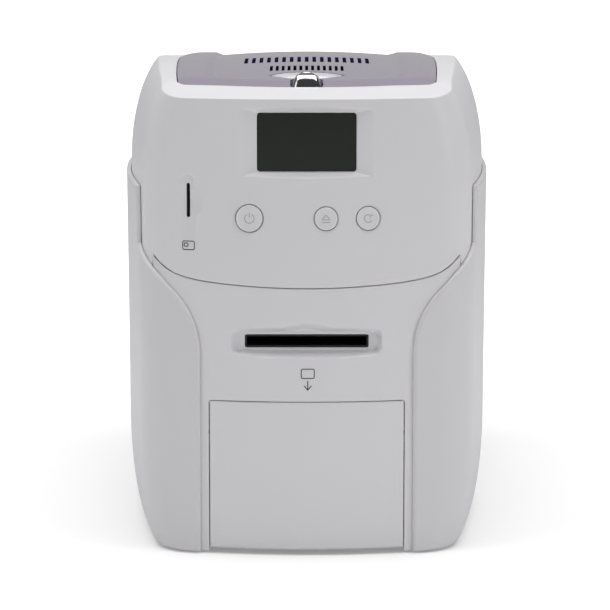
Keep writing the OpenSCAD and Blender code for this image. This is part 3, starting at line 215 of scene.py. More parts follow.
def tube(name: str, path: Array, radius: float, flat: float, normal: Array,
         sides: int = 8) -> bpy.types.Object:
    """Stroke with a rounded section carried along a path, its two ends capped.

    Args:
        name: name of the object.
        path: (n, 3) places.
        radius: half width of the stroke.
        flat: height of the section as a share of its width.
        normal: (n, 3) or (3,) direction out of the face that carries the stroke.
        sides: points round the section.

    Returns:
        The stroke's object.
    """
    ahead = np.gradient(path, axis=0)
    ahead /= np.linalg.norm(ahead, axis=1, keepdims=True)
    up = np.broadcast_to(normal, path.shape)
    side = np.cross(ahead, up)
    side /= np.linalg.norm(side, axis=1, keepdims=True)
    angle = np.arange(sides) * 2 * math.pi / sides
    ring = (side[:, None] * np.cos(angle)[None, :, None]
            + up[:, None] * (flat * np.sin(angle))[None, :, None]) * radius
    points = np.concatenate([(path[:, None] + ring).reshape(-1, 3), path[:1], path[-1:]])
    first, last = len(points) - 2, len(points) - 1
    index = np.arange(first).reshape(len(path), sides)
    turned = np.roll(index, -1, axis=1)
    walls = np.stack([index[:-1], turned[:-1], turned[1:], index[1:]], -1).reshape(-1, 4)
    start = np.stack([np.full(sides, first), turned[0], index[0]], -1)
    end = np.stack([np.full(sides, last), index[-1], turned[-1]], -1)
    tris = np.concatenate([walls[:, [0, 1, 2]], walls[:, [0, 2, 3]], start, end])
    return mesh_object(name, points, tris)


def ring_faces(rings: int, count: int) -> Array:
    """Triangles over rings of count points each; the first and the last ring are one point."""
    index = np.arange(rings * count).reshape(rings, count)
    index[0], index[-1] = index[0, 0], index[-1, 0]
    turned = np.roll(index, -1, axis=1)
    quads = np.stack([index[:-1], turned[:-1], turned[1:], index[1:]], -1).reshape(-1, 4)
    tris = np.concatenate([quads[:, [0, 1, 2]], quads[:, [0, 2, 3]]])
    distinct = (tris != np.roll(tris, 1, axis=1)).all(axis=1)
    return tris[distinct]


def turned_solid(name: str, profile: Array, centre: Array, axis: str,
                 count: int = 96) -> bpy.types.Object:
    """Solid of revolution: a profile of (radius, place along the axis) turned about an axis.

    Args:
        name: name of the object.
        profile: (n, 2) radius and height, starting and ending on the axis.
        centre: place of the axis' origin.
        axis: "x", "y" or "z".
        count: points round the axis.

    Returns:
        The closed object.
    """
    angle = np.arange(count) * 2 * math.pi / count
    r = profile[:, 0][:, None]
    h = np.broadcast_to(profile[:, 1][:, None], (len(profile), count))
    u, v = r * np.cos(angle), r * np.sin(angle)
    order = {"x": (h, u, v), "y": (v, h, u), "z": (u, v, h)}[axis]
    points = np.stack(order, -1).reshape(-1, 3) + centre
    return mesh_object(name, points, ring_faces(len(profile), count))


# ---- The housing's form --------------------------------------------------------------


@dataclass(frozen=True)
class HousingForm:
    """Outer form of the housing: the construction's curves, its deck falling to the back as
    the outline in the photograph does."""

    half_w: float = 96.0
    deck_h: float = 237.5
    front: float = -166.0
    back: float = 164.6
    front_r: float = 220.0
    side_r: float = 800.0
    corner_r: float = 24.0
    side_taper: float = 1.4
    toe_in: float = 9.5
    toe_h: float = 50.0
    shoulder_in: float = 24.0
    shoulder_h: float = 57.0
    crown_over: float = 4.5
    crest_y: float = -41.0
    fall_front: float = 6.5
    fall_back: tuple[float, float, float] = (36.8, -53.9, 35.6)
    lip_d: float = 14.0
    lip_rise: float = 4.5
    skin: float = 2.5
    wall: float = 2.5
    sill_z: float = 1.2
    cover_top: float = 181.0
    rolled_z: float = 185.0

    @property
    def lip_top(self) -> float:
        """Height of the lip's rear edge."""
        return self.deck_h - self.fall_front

    def flank_in(self, z: Array) -> Array:
        """Taper to the foot, curl of the toe and roll of the shoulder, as one inset at z."""
        taper = self.side_taper * np.maximum(0, 1 - z / self.cover_top)
        toe = np.clip(1 - z / self.toe_h, 0, 1)
        roll = np.clip(1 - (self.deck_h + self.crown_over - z) / self.shoulder_h, 0, 1)
        return (taper + self.toe_in * (1 - np.sqrt(1 - toe**2))
                + self.shoulder_in * (1 - np.sqrt(np.maximum(1 - roll**2, 0))))

    def deck_z(self, y: Array) -> Array:
        """Falls as a square from the crest to the lip, and to the back as a quartic: slowly
        at first, then at an even slope, then faster towards the rear edge."""
        reach = self.crest_y - self.front - self.lip_d
        fore = self.fall_front * ((self.crest_y - y) / reach) ** 2
        t = (y - self.crest_y) / (self.back - self.crest_y)
        square, cube, fourth = self.fall_back
        aft = t**2 * (square + cube * t + fourth * t**2)
        return self.deck_h - np.where(y < self.crest_y, fore, aft)

    def arcs(self, z: Array, inset: Array) -> dict[str, Array]:
        """Centres, radii and end angles of the plan's arcs at height z, set in by inset."""
        rolled = np.clip((z - self.cover_top) / (self.rolled_z - self.cover_top), 0, 1)
        lift = (inset - self.skin) * rolled
        side_x = self.half_w - self.flank_in(z + lift) - self.side_r
        bow_y = self.front + self.front_r
        span = np.hypot(side_x, bow_y)
        ux, uy = -side_x / span, bow_y / span
        near, far = self.side_r - self.corner_r, self.front_r - self.corner_r
        along = (near**2 - far**2 + span**2) / (2 * span)
        across = np.sqrt(near**2 - along**2)
        fx = side_x + along * ux + across * uy
        fy = along * uy - across * ux
        ry = np.broadcast_to(self.back - self.corner_r, np.shape(fx))
        rx = side_x + np.sqrt(near**2 - ry**2)
        return {
            "side_x": side_x, "bow_y": bow_y, "fx": fx, "fy": fy, "rx": rx, "ry": ry,
            "r": self.corner_r - inset, "bow": self.front_r - inset, "side": self.side_r - inset,
            "a0": np.arctan2(fy - bow_y, fx), "a1": np.arctan2(fy, fx - side_x),
            "a2": np.arctan2(ry, rx - side_x),
        }

    def plan(self, s: Array, z: Array, inset: Array) -> tuple[Array, Array]:
        """Point of the plan: bow for s to 1, corner to 2, side to 3, corner to 4, back to 5."""
        k = self.arcs(z, inset)
        t = np.abs(s)
        quarter = math.pi / 2
        bow = -quarter + t * (k["a0"] + quarter)
        corner = k["a0"] + (t - 1) * (k["a1"] - k["a0"])
        side = k["a1"] + (t - 2) * (k["a2"] - k["a1"])
        rear = k["a2"] + (t - 3) * (quarter - k["a2"])
        part = np.clip(t.astype(int), 0, 4)
        x = np.choose(part, [
            k["bow"] * np.cos(bow), k["fx"] + k["r"] * np.cos(corner),
            k["side_x"] + k["side"] * np.cos(side), k["rx"] + k["r"] * np.cos(rear),
            k["rx"] * (5 - t)])
        y = np.choose(part, [
            k["bow_y"] + k["bow"] * np.sin(bow), k["fy"] + k["r"] * np.sin(corner),
            k["side"] * np.sin(side), k["ry"] + k["r"] * np.sin(rear),
            k["ry"] + k["r"] + 0 * t])
        return x * np.where(s < 0, -1.0, 1.0), y

    def front_s(self, x: Array, z: Array, inset: Array) -> Array:
        """Plan parameter of the place x on the front, on the bow or round its corner."""
        k = self.arcs(z, inset)
        flat = np.arcsin(np.clip(np.abs(x) / k["bow"], 0, 1)) / (k["a0"] + math.pi / 2)
        turn = -np.arccos(np.clip((np.abs(x) - k["fx"]) / k["r"], -1, 1))
        round_corner = 1 + (turn - k["a0"]) / (k["a1"] - k["a0"])
        return np.where(flat <= 1, flat, round_corner) * np.where(x < 0, -1.0, 1.0)

    def back_s(self, x: float, z: Array, inset: Array) -> Array:
        """Plan parameter of the place x on the back, on the flat or round its corner."""
        k = self.arcs(z, inset)
        turn = np.arccos(np.clip((x - k["rx"]) / k["r"], -1, 1))
        corner = 3 + (turn - k["a2"]) / (math.pi / 2 - k["a2"])
        return np.where(x < k["rx"], 5 - x / k["rx"], corner)

    def lengths(self, z: Array, inset: Array) -> Array:
        """Lengths of the plan's five stretches on one side, first axis 5."""
        k = self.arcs(z, inset)
        quarter = math.pi / 2
        return np.stack([
            k["bow"] * (k["a0"] + quarter), k["r"] * (k["a1"] - k["a0"]),
            k["side"] * (k["a2"] - k["a1"]), k["r"] * (quarter - k["a2"]), k["rx"]])

    def walk(self, start: Array, distance: Array, z: Array, inset: Array) -> Array:
        """Plan parameter reached after a distance along the outline from start."""
        size = self.lengths(z, inset)
        ends = np.concatenate([np.zeros_like(size[:1]), np.cumsum(size, axis=0)])
        part = np.clip(start.astype(int), 0, 4)
        base = np.take_along_axis(ends, part[None], 0)[0]
        here = base + (start - part) * np.take_along_axis(size, part[None], 0)[0] + distance
        part = np.clip((here[None] >= ends[1:]).sum(0), 0, 4)
        base = np.take_along_axis(ends, part[None], 0)[0]
        return part + (here - base) / np.take_along_axis(size, part[None], 0)[0]

    def front_point(self, x: Array, z: Array, inset: Array) -> Array:
        """Place on the front at x and z, last axis 3."""
        inset = np.broadcast_to(inset, np.shape(x)).astype(float)
        px, py = self.plan(self.front_s(x, z, inset), z, inset)
        return np.stack([px, py, z], -1)

    def bow(self, x: Array, inset: Array) -> Array:
        """Place of the bowed front alone at x."""
        return self.front + self.front_r - np.sqrt((self.front_r - inset) ** 2 - np.asarray(x) ** 2)


@dataclass(frozen=True)
class SplitLines:
    """Curves along which the mouldings meet, seen from the front."""

    seam_z: float = 133.5
    seam_rise: float = 13.5
    gap: float = 0.3
    cover_x: float = 53.0
    turn_z: float = 101.0
    turn_r: float = 42.0
    lean: float = 46.0
    run: float = 17.0
    lift_r: float = 33.0
    lift_lean: float = 12.0
    top: float = 181.0
    tuck: float = 6.0

    def seam(self, x: Array) -> Array:
        """Seam height: a parabola that turns up steeply beside the covers."""
        t = np.abs(x) / (self.cover_x + self.turn_r * 0.52)
        return self.seam_z + self.seam_rise * (0.45 * t**2 + 0.55 * t**10)

    @property
    def lift(self) -> tuple[float, float]:
        """Place where the leaning run ends and the edge starts to turn up."""
        a = math.radians(self.lean)
        x = self.cover_x + self.turn_r * (1 - math.cos(a)) + self.run * math.sin(a)
        z = self.turn_z + self.turn_r * math.sin(a) + self.run * math.cos(a)
        return x, z

    def outline(self) -> Array:
        """Front edge of a cover as (x, z) points: up, out on an arc, straight, up again."""
        out = np.radians(np.linspace(0, self.lean, 15))
        up = np.radians(np.linspace(self.lean, self.lift_lean, 11))
        x1, z1 = self.lift
        a = math.radians(self.lean)
        arc_out = np.stack([self.cover_x + self.turn_r * (1 - np.cos(out)),
                            self.turn_z + self.turn_r * np.sin(out)], -1)
        arc_up = np.stack([x1 + self.lift_r * (np.cos(up) - math.cos(a)),
                           z1 + self.lift_r * (math.sin(a) - np.sin(up))], -1)
        end = arc_up[-1]
        rise = self.top - end[1]
        rim = end + rise * np.array([math.tan(math.radians(self.lift_lean)), 1.0])
        return np.concatenate([[[self.cover_x, -1.0]], arc_out, arc_up, [rim]])

    def cover_edge(self, z: Array) -> Array:
        """Half spacing of the covers' front edges at height z."""
        line = self.outline()
        return np.interp(z, line[:, 1], line[:, 0])

    def upper_low(self, x: Array) -> Array:
        """Lower edge of the upper housing at x, tucked behind the covers beyond the seam."""
        line = self.outline()
        end = self.lift[0] - 2
        far = line[line[:, 1] > self.lift[1]]
        xs = np.concatenate([[end, end + 1.2], far[:, 0]])
        zs = np.concatenate([[float(self.seam(np.array(end))), self.lift[1] - self.tuck],
                             far[:, 1] - self.tuck])
        t = np.abs(x)
        return np.where(t <= end, self.seam(x), np.interp(t, xs, zs)) + self.gap / 2


FORM = HousingForm()
LINES = SplitLines()


# ---- Finishes ------------------------------------------------------------------------


class Nodes:
    """Small helper that adds and joins nodes of one tree."""

    def __init__(self, tree: bpy.types.NodeTree) -> None:
        """Keeps the tree and clears it."""
        self.tree = tree
        tree.nodes.clear()

    def add(self, kind: str, **values: object) -> bpy.types.Node:
        """Adds a node; a value named after an attribute or an input socket is set on it."""
        node = self.tree.nodes.new(kind)
        for key, value in values.items():
            if hasattr(node, key):
                setattr(node, key, value)
            else:
                self.feed(node.inputs[key.replace("_", " ")], value)
        return node

    def feed(self, socket: bpy.types.NodeSocket, value: object) -> None:
        """Links an output to a socket, or sets the socket's constant."""
        if isinstance(value, bpy.types.NodeSocket):
            self.tree.links.new(value, socket)
        else:
            socket.default_value = value

    def math(self, kind: str, *values: object, clamp: bool = False) -> bpy.types.NodeSocket:
        """Result of one Math node."""
        node = self.tree.nodes.new("ShaderNodeMath")
        node.operation = kind
        node.use_clamp = clamp
        for socket, value in zip(node.inputs, values):
            self.feed(socket, value)
        return node.outputs[0]

    def number_mix(self, factor: object, a: object, b: object) -> bpy.types.NodeSocket:
        """Number between a and b."""
        return self.math("ADD", a, self.math("MULTIPLY", factor, self.math("SUBTRACT", b, a)))

    def mix(self, factor: object, a: object, b: object) -> bpy.types.NodeSocket:
        """Colour between a and b."""
        node = self.tree.nodes.new("ShaderNodeMix")
        node.data_type = "RGBA"
        self.feed(node.inputs[0], factor)
        self.feed(node.inputs[6], a)
        self.feed(node.inputs[7], b)
        return node.outputs[2]

    def noise(self, place: object, scale: float, detail: float = 2.0) -> bpy.types.NodeSocket:
        """Noise value from 0 to 1 at a place."""
        node = self.add("ShaderNodeTexNoise", Scale=scale, Detail=detail)
        self.feed(node.inputs["Vector"], place)
        return node.outputs["Fac"]


Output = Callable[[str, object], None]


def effect(name: str, inputs: Sequence[tuple[str, float]], outputs: Sequence[str],
           wire: Callable[[Nodes, dict, Output], None]) -> bpy.types.NodeTree:
    """Builds a shared effect once, with float inputs and outputs over Object coordinates."""
    tree = bpy.data.node_groups.get(name)
    if tree is not None:
        return tree
    tree = bpy.data.node_groups.new(name, "ShaderNodeTree")
    for label, value in inputs:
        socket = tree.interface.new_socket(label, in_out="INPUT", socket_type="NodeSocketFloat")
        socket.default_value = value
    for label in outputs:
        tree.interface.new_socket(label, in_out="OUTPUT", socket_type="NodeSocketFloat")
    kit = Nodes(tree)
    come = kit.add("NodeGroupInput")
    leave = kit.add("NodeGroupOutput")
    place = kit.add("ShaderNodeTexCoord").outputs["Object"]
    given = {label: come.outputs[label] for label, _ in inputs}
    given["place"] = place
    wire(kit, given, lambda label, value: kit.feed(leave.inputs[label], value))
    return tree


def wire_grain(kit: Nodes, given: dict, out: Output) -> None:
    """Spark-eroded mould texture: two fine noises as height, and a slow drift of tone."""
    fine = kit.noise(given["place"], 2600.0, 1.0)
    broad = kit.noise(given["place"], 700.0, 1.0)
    out("Height", kit.math("MULTIPLY", kit.math("ADD", fine, broad), given["Depth"]))
    drift = kit.math("SUBTRACT", kit.noise(given["place"], 9.0, 3.0), 0.5)
    out("Tone", kit.math("MULTIPLY", drift, given["Drift"]))


def wire_handling(kit: Nodes, given: dict, out: Output) -> None:
    """Faint dulling by hands and cloths: soft smears that change the roughness a little."""
    stretched = kit.add("ShaderNodeMapping", Scale=(14.0, 14.0, 60.0))
    kit.feed(stretched.inputs["Vector"], given["place"])
    smear = kit.noise(stretched.outputs["Vector"], 1.0, 4.0)
    mask = kit.math("MULTIPLY", kit.math("SUBTRACT", smear, 0.5), given["Amount"])
    out("Roughness", kit.math("ADD", given["Base"], mask, clamp=True))


def wire_brushing(kit: Nodes, given: dict, out: Output) -> None:
    """Fine scratches along Y: noise stretched in that direction."""
    stretched = kit.add("ShaderNodeMapping", Scale=(2400.0, 30.0, 2400.0))
    kit.feed(stretched.inputs["Vector"], given["place"])
    line = kit.noise(stretched.outputs["Vector"], 1.0, 2.0)
    out("Height", kit.math("MULTIPLY", line, given["Depth"]))
    out("Roughness", kit.math("ADD", given["Base"], kit.math("MULTIPLY", line, 0.12), clamp=True))


class Surface(Enum):
    """Kinds of surface that share a way of being wired."""

    MOULDED = "moulded plastic, glass and rubber"
    METAL = "worked metal"
    BOARD = "circuit board"


@dataclass(frozen=True)
class Finish:
    """A finish: its colour, sheen and the depth of its texture."""

    name: str
    colour: tuple[float, float, float]
    kind: Surface = Surface.MOULDED
    roughness: float = 0.36
    grain: float = 0.25
    drift: float = 0.05
    handling: float = 0.1
    coat: float = 0.0

    def material(self) -> bpy.types.Material:
        """Makes the material, or returns the one made before."""
        made = bpy.data.materials.get(self.name)
        if made is not None:
            return made
        made = bpy.data.materials.new(self.name)
        made.use_nodes = True
        kit = Nodes(made.node_tree)
        shader = kit.add("ShaderNodeBsdfPrincipled")
        kit.feed(kit.add("ShaderNodeOutputMaterial").inputs["Surface"], shader.outputs[0])
        shader.inputs["Coat Weight"].default_value = self.coat
        shader.inputs["Coat Roughness"].default_value = 0.12
        metal = self.kind is Surface.METAL
        shader.inputs["Metallic"].default_value = 1.0 if metal else 0.0
        colour = (*self.colour, 1.0)
        if metal:
            brushing = kit.add("ShaderNodeGroup", node_tree=effect(
                "brushing", [("Depth", 1.0), ("Base", 0.3)], ["Height", "Roughness"],
                wire_brushing))
            brushing.inputs["Depth"].default_value = self.grain
            brushing.inputs["Base"].default_value = self.roughness
            height, rough = brushing.outputs["Height"], brushing.outputs["Roughness"]
            kit.feed(shader.inputs["Base Color"], colour)
        else:
            grain = kit.add("ShaderNodeGroup", node_tree=effect(
                "mould grain", [("Depth", 1.0), ("Drift", 0.05)], ["Height", "Tone"], wire_grain))
            grain.inputs["Depth"].default_value = self.grain
            grain.inputs["Drift"].default_value = self.drift
            handling = kit.add("ShaderNodeGroup", node_tree=effect(
                "handling", [("Base", 0.3), ("Amount", 0.1)], ["Roughness"], wire_handling))
            handling.inputs["Base"].default_value = self.roughness
            handling.inputs["Amount"].default_value = self.handling
            height, rough = grain.outputs["Height"], handling.outputs["Roughness"]
            tone = kit.math("ADD", 1.0, grain.outputs["Tone"])
            shade = kit.add("ShaderNodeVectorMath", operation="SCALE")
            kit.feed(shade.inputs[0], self.colour)
            kit.feed(shade.inputs["Scale"], tone)
            kit.feed(shader.inputs["Base Color"], shade.outputs[0])
        if self.kind is Surface.BOARD:
            brick = kit.add("ShaderNodeTexVoronoi", feature="DISTANCE_TO_EDGE", Scale=190.0)
            kit.feed(brick.inputs["Vector"], kit.add("ShaderNodeTexCoord").outputs["Object"])
            track = kit.math("LESS_THAN", brick.outputs["Distance"], 0.06)
            light = tuple(min(1.0, 1.9 * c + 0.01) for c in self.colour)
            kit.feed(shader.inputs["Base Color"], kit.mix(track, colour, (*light, 1.0)))
        kit.feed(shader.inputs["Roughness"], rough)
        bump = kit.add("ShaderNodeBump", Strength=0.35, Distance=0.00005)
        kit.feed(bump.inputs["Height"], height)
        kit.feed(shader.inputs["Normal"], bump.outputs["Normal"])
        return made

    def put_on(self, piece: bpy.types.Object) -> None:
        """Puts this finish on every material slot of a piece."""
        made = self.material()
        if not piece.data.materials:
            piece.data.materials.append(made)
        for i in range(len(piece.data.materials)):
            piece.data.materials[i] = made


WHITE = Finish("moulded white", (0.80, 0.79, 0.82), roughness=0.34, grain=0.2, coat=0.08)
COVER = Finish("cover white", (0.74, 0.73, 0.755), roughness=0.38, grain=0.25, coat=0.06)
REAR = Finish("grained light grey", (0.72, 0.715, 0.73), roughness=0.5, grain=0.6)
LID = Finish("violet tinted lid", (0.33, 0.295, 0.36), roughness=0.16, grain=0.05, coat=0.35,
             handling=0.06)
KEY = Finish("key white", (0.80, 0.79, 0.81), roughness=0.3, grain=0.1)
# Painted shade: grey on the raised moulded signs of the keys, standing in for the light and shade on
# their relief.
KEY_SIGN_SHADE = Finish("painted shade on key sign", (0.5, 0.5, 0.53), roughness=0.4, grain=0.1)
INK = Finish("printed sign", (0.02, 0.02, 0.022), roughness=0.45, grain=0.1)
INSERT = Finish("insert white", (0.93, 0.92, 0.94), roughness=0.2, grain=0.04, coat=0.2)
CHROME = Finish("bright chrome", (0.66, 0.67, 0.70), Surface.METAL, 0.05, grain=0.02)
GLASS = Finish("display glass", (0.009, 0.014, 0.009), roughness=0.14, grain=0.02,
               handling=0.05)
# Grained black of the dark parts; the walls of the lid's front vent slots also take it as painted
# shade.
BLACK = Finish("grained black", (0.012, 0.012, 0.012), roughness=0.5, grain=0.5)
# Painted shade: a dark violet on the walls of the lid's rear vent slots, standing in for the shadow
# inside them.
VIOLET_SLOT_SHADE = Finish("painted violet slot shade", (0.08, 0.05, 0.26), roughness=0.3, grain=0.1)
DARK = Finish("dark grey plastic", (0.05, 0.05, 0.055), roughness=0.45, grain=0.4)
GREY = Finish("mid grey plastic", (0.22, 0.22, 0.25), roughness=0.45, grain=0.4)
BIN = Finish("bin plastic", (0.55, 0.55, 0.57), roughness=0.45, grain=0.4)
BOARD = Finish("solder mask", (0.012, 0.075, 0.03), Surface.BOARD, 0.3, grain=0.2, coat=0.3)
STEEL = Finish("zinc plated steel", (0.60, 0.60, 0.61), Surface.METAL, 0.3, grain=0.5)
ALLOY = Finish("milled alloy", (0.70, 0.71, 0.73), Surface.METAL, 0.26, grain=0.6)
BRONZE = Finish("sintered bronze", (0.55, 0.38, 0.19), Surface.METAL, 0.42, grain=0.8)
RUBBER = Finish("ground rubber", (0.02, 0.02, 0.022), roughness=0.7, grain=1.6, handling=0.2)
FILM = Finish("dyed film", (0.06, 0.035, 0.1), roughness=0.14, grain=0.02, coat=0.4)

NODE_FINISH: dict[str, Finish] = {
    "base_tray": REAR, "rubber_feet": RUBBER, "housing_screws": STEEL, "lid_hinge_bar": LID,
    "hinge_brackets": DARK, "hinge_pins": STEEL, "lid_catches": DARK, "latch_bezel": INSERT,
    "button_spring": STEEL, "lcd_window": GLASS, "lcd_module": DARK, "front_board": BOARD,
    "key_switches": BLACK, "power_key": KEY, "eject_key": KEY, "ribbon_key": KEY,
    "chip_reader": BLACK, "card_throat": BLACK, "door_pins": STEEL, "card_bin": BIN,
    "left_chassis_plate": STEEL, "right_chassis_plate": STEEL, "cross_rods": STEEL,
    "shaft_bushes": BRONZE, "feed_roller": RUBBER, "platen_roller": RUBBER, "exit_roller": RUBBER,
    "front_pinch_roller": RUBBER, "rear_pinch_roller": RUBBER, "feed_pulley": DARK,
    "platen_pulley": DARK, "exit_pulley": DARK, "motor_pulley": ALLOY, "drive_motor": DARK,
    "drive_belt": RUBBER, "head_arm": ALLOY, "print_head": ALLOY, "supply_spool": FILM,
    "takeup_spool": FILM, "ribbon_film": FILM, "ribbon_cassette": GREY, "main_board": BOARD,
    "io_board": BLACK, "power_rocker": BLACK, "fan_frame": BLACK, "fan_rotor": DARK,
}


def settle(piece: bpy.types.Object, body: str, finish: Finish, *nodes: str) -> None:
    """Rides a new piece on its body, puts its finish on and lets it stand for CAD nodes."""
    finish.put_on(piece)
    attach(piece, body)
    if nodes:
        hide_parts(*nodes)
    LOG.info("%s: %d faces on %s", piece.name, len(piece.data.polygons), body)


# ---- Mouldings -------------------------------------------------------------------------

KEY_Z = 168.0
KEY_PLACES = {"power": (-28.0, 6.6), "eject": (9.4, 5.7), "ribbon_set": (30.0, 5.7)}
BUTTON_SIZE = (15.4, 11.0)
BUTTON_Y = -142.0
CARD_SLOT_Z = 106.7


@dataclass
class LidPlan:
    """Plan of the lid, or of the opening round it when grown: an arc in front, two long
    arcs at the sides and a straight rear edge, with rounded corners."""

    grow: float = 0.0
    rear: float = 94.1
    half: float = 67.0
    side_r: float = 1690.0
    mid: float = -27.7
    corner: float = 7.0
    side_turn: float = 0.066

    @property
    def front_r(self) -> float:
        """Radius of the front arc about the bow's centre."""
        return FORM.front_r - FORM.skin - FORM.lip_d + self.grow

    @property
    def bow_y(self) -> float:
        """Place of the bow's centre."""
        return FORM.front + FORM.front_r

    def side(self, y: Array) -> Array:
        """Half width at y."""
        return self.half - (y - self.mid) ** 2 / (2 * self.side_r) + self.grow

    def front_y(self, x: Array) -> Array:
        """Front edge at x."""
        return self.bow_y - np.sqrt(self.front_r**2 - np.asarray(x) ** 2)

    def outline(self, g: Array) -> tuple[Array, Array]:
        """Outline on one side: front for g to 1, corner to 2, side to 3, corner to 4, rear to
        5. The front corner's centre is found in a few steps from the front edge's middle."""
        r = self.corner + self.grow
        cy = self.bow_y - self.front_r
        for _ in range(9):
            cx = float(self.side(np.array(cy))) - r
            cy = self.bow_y - math.sqrt((self.front_r - r) ** 2 - cx**2)
        a0, a1 = math.atan2(cy - self.bow_y, cx), -self.side_turn
        rear_y = self.rear - r
        rx = float(self.side(np.array(rear_y))) - r
        xa = self.front_r * math.cos(a0)
        part = np.clip(g.astype(int), 0, 4)
        f = g - part
        fx = f * xa
        turn = a0 + f * (a1 - a0)
        y0, y1 = cy + r * math.sin(a1), rear_y + r * math.sin(self.side_turn)
        sy = y0 + f * (y1 - y0)
        back = self.side_turn + f * (math.pi / 2 - self.side_turn)
        x = np.choose(part, [fx, cx + r * np.cos(turn), self.side(sy), rx + r * np.cos(back),
                             rx * (1 - f)])
        y = np.choose(part, [self.front_y(fx), cy + r * np.sin(turn), sy,
                             rear_y + r * np.sin(back), self.rear + 0 * f])
        return x, y


def signed(t: Array) -> Array:
    """Sign of t, with 1 at nothing."""
    return np.where(t < 0, -1.0, 1.0)


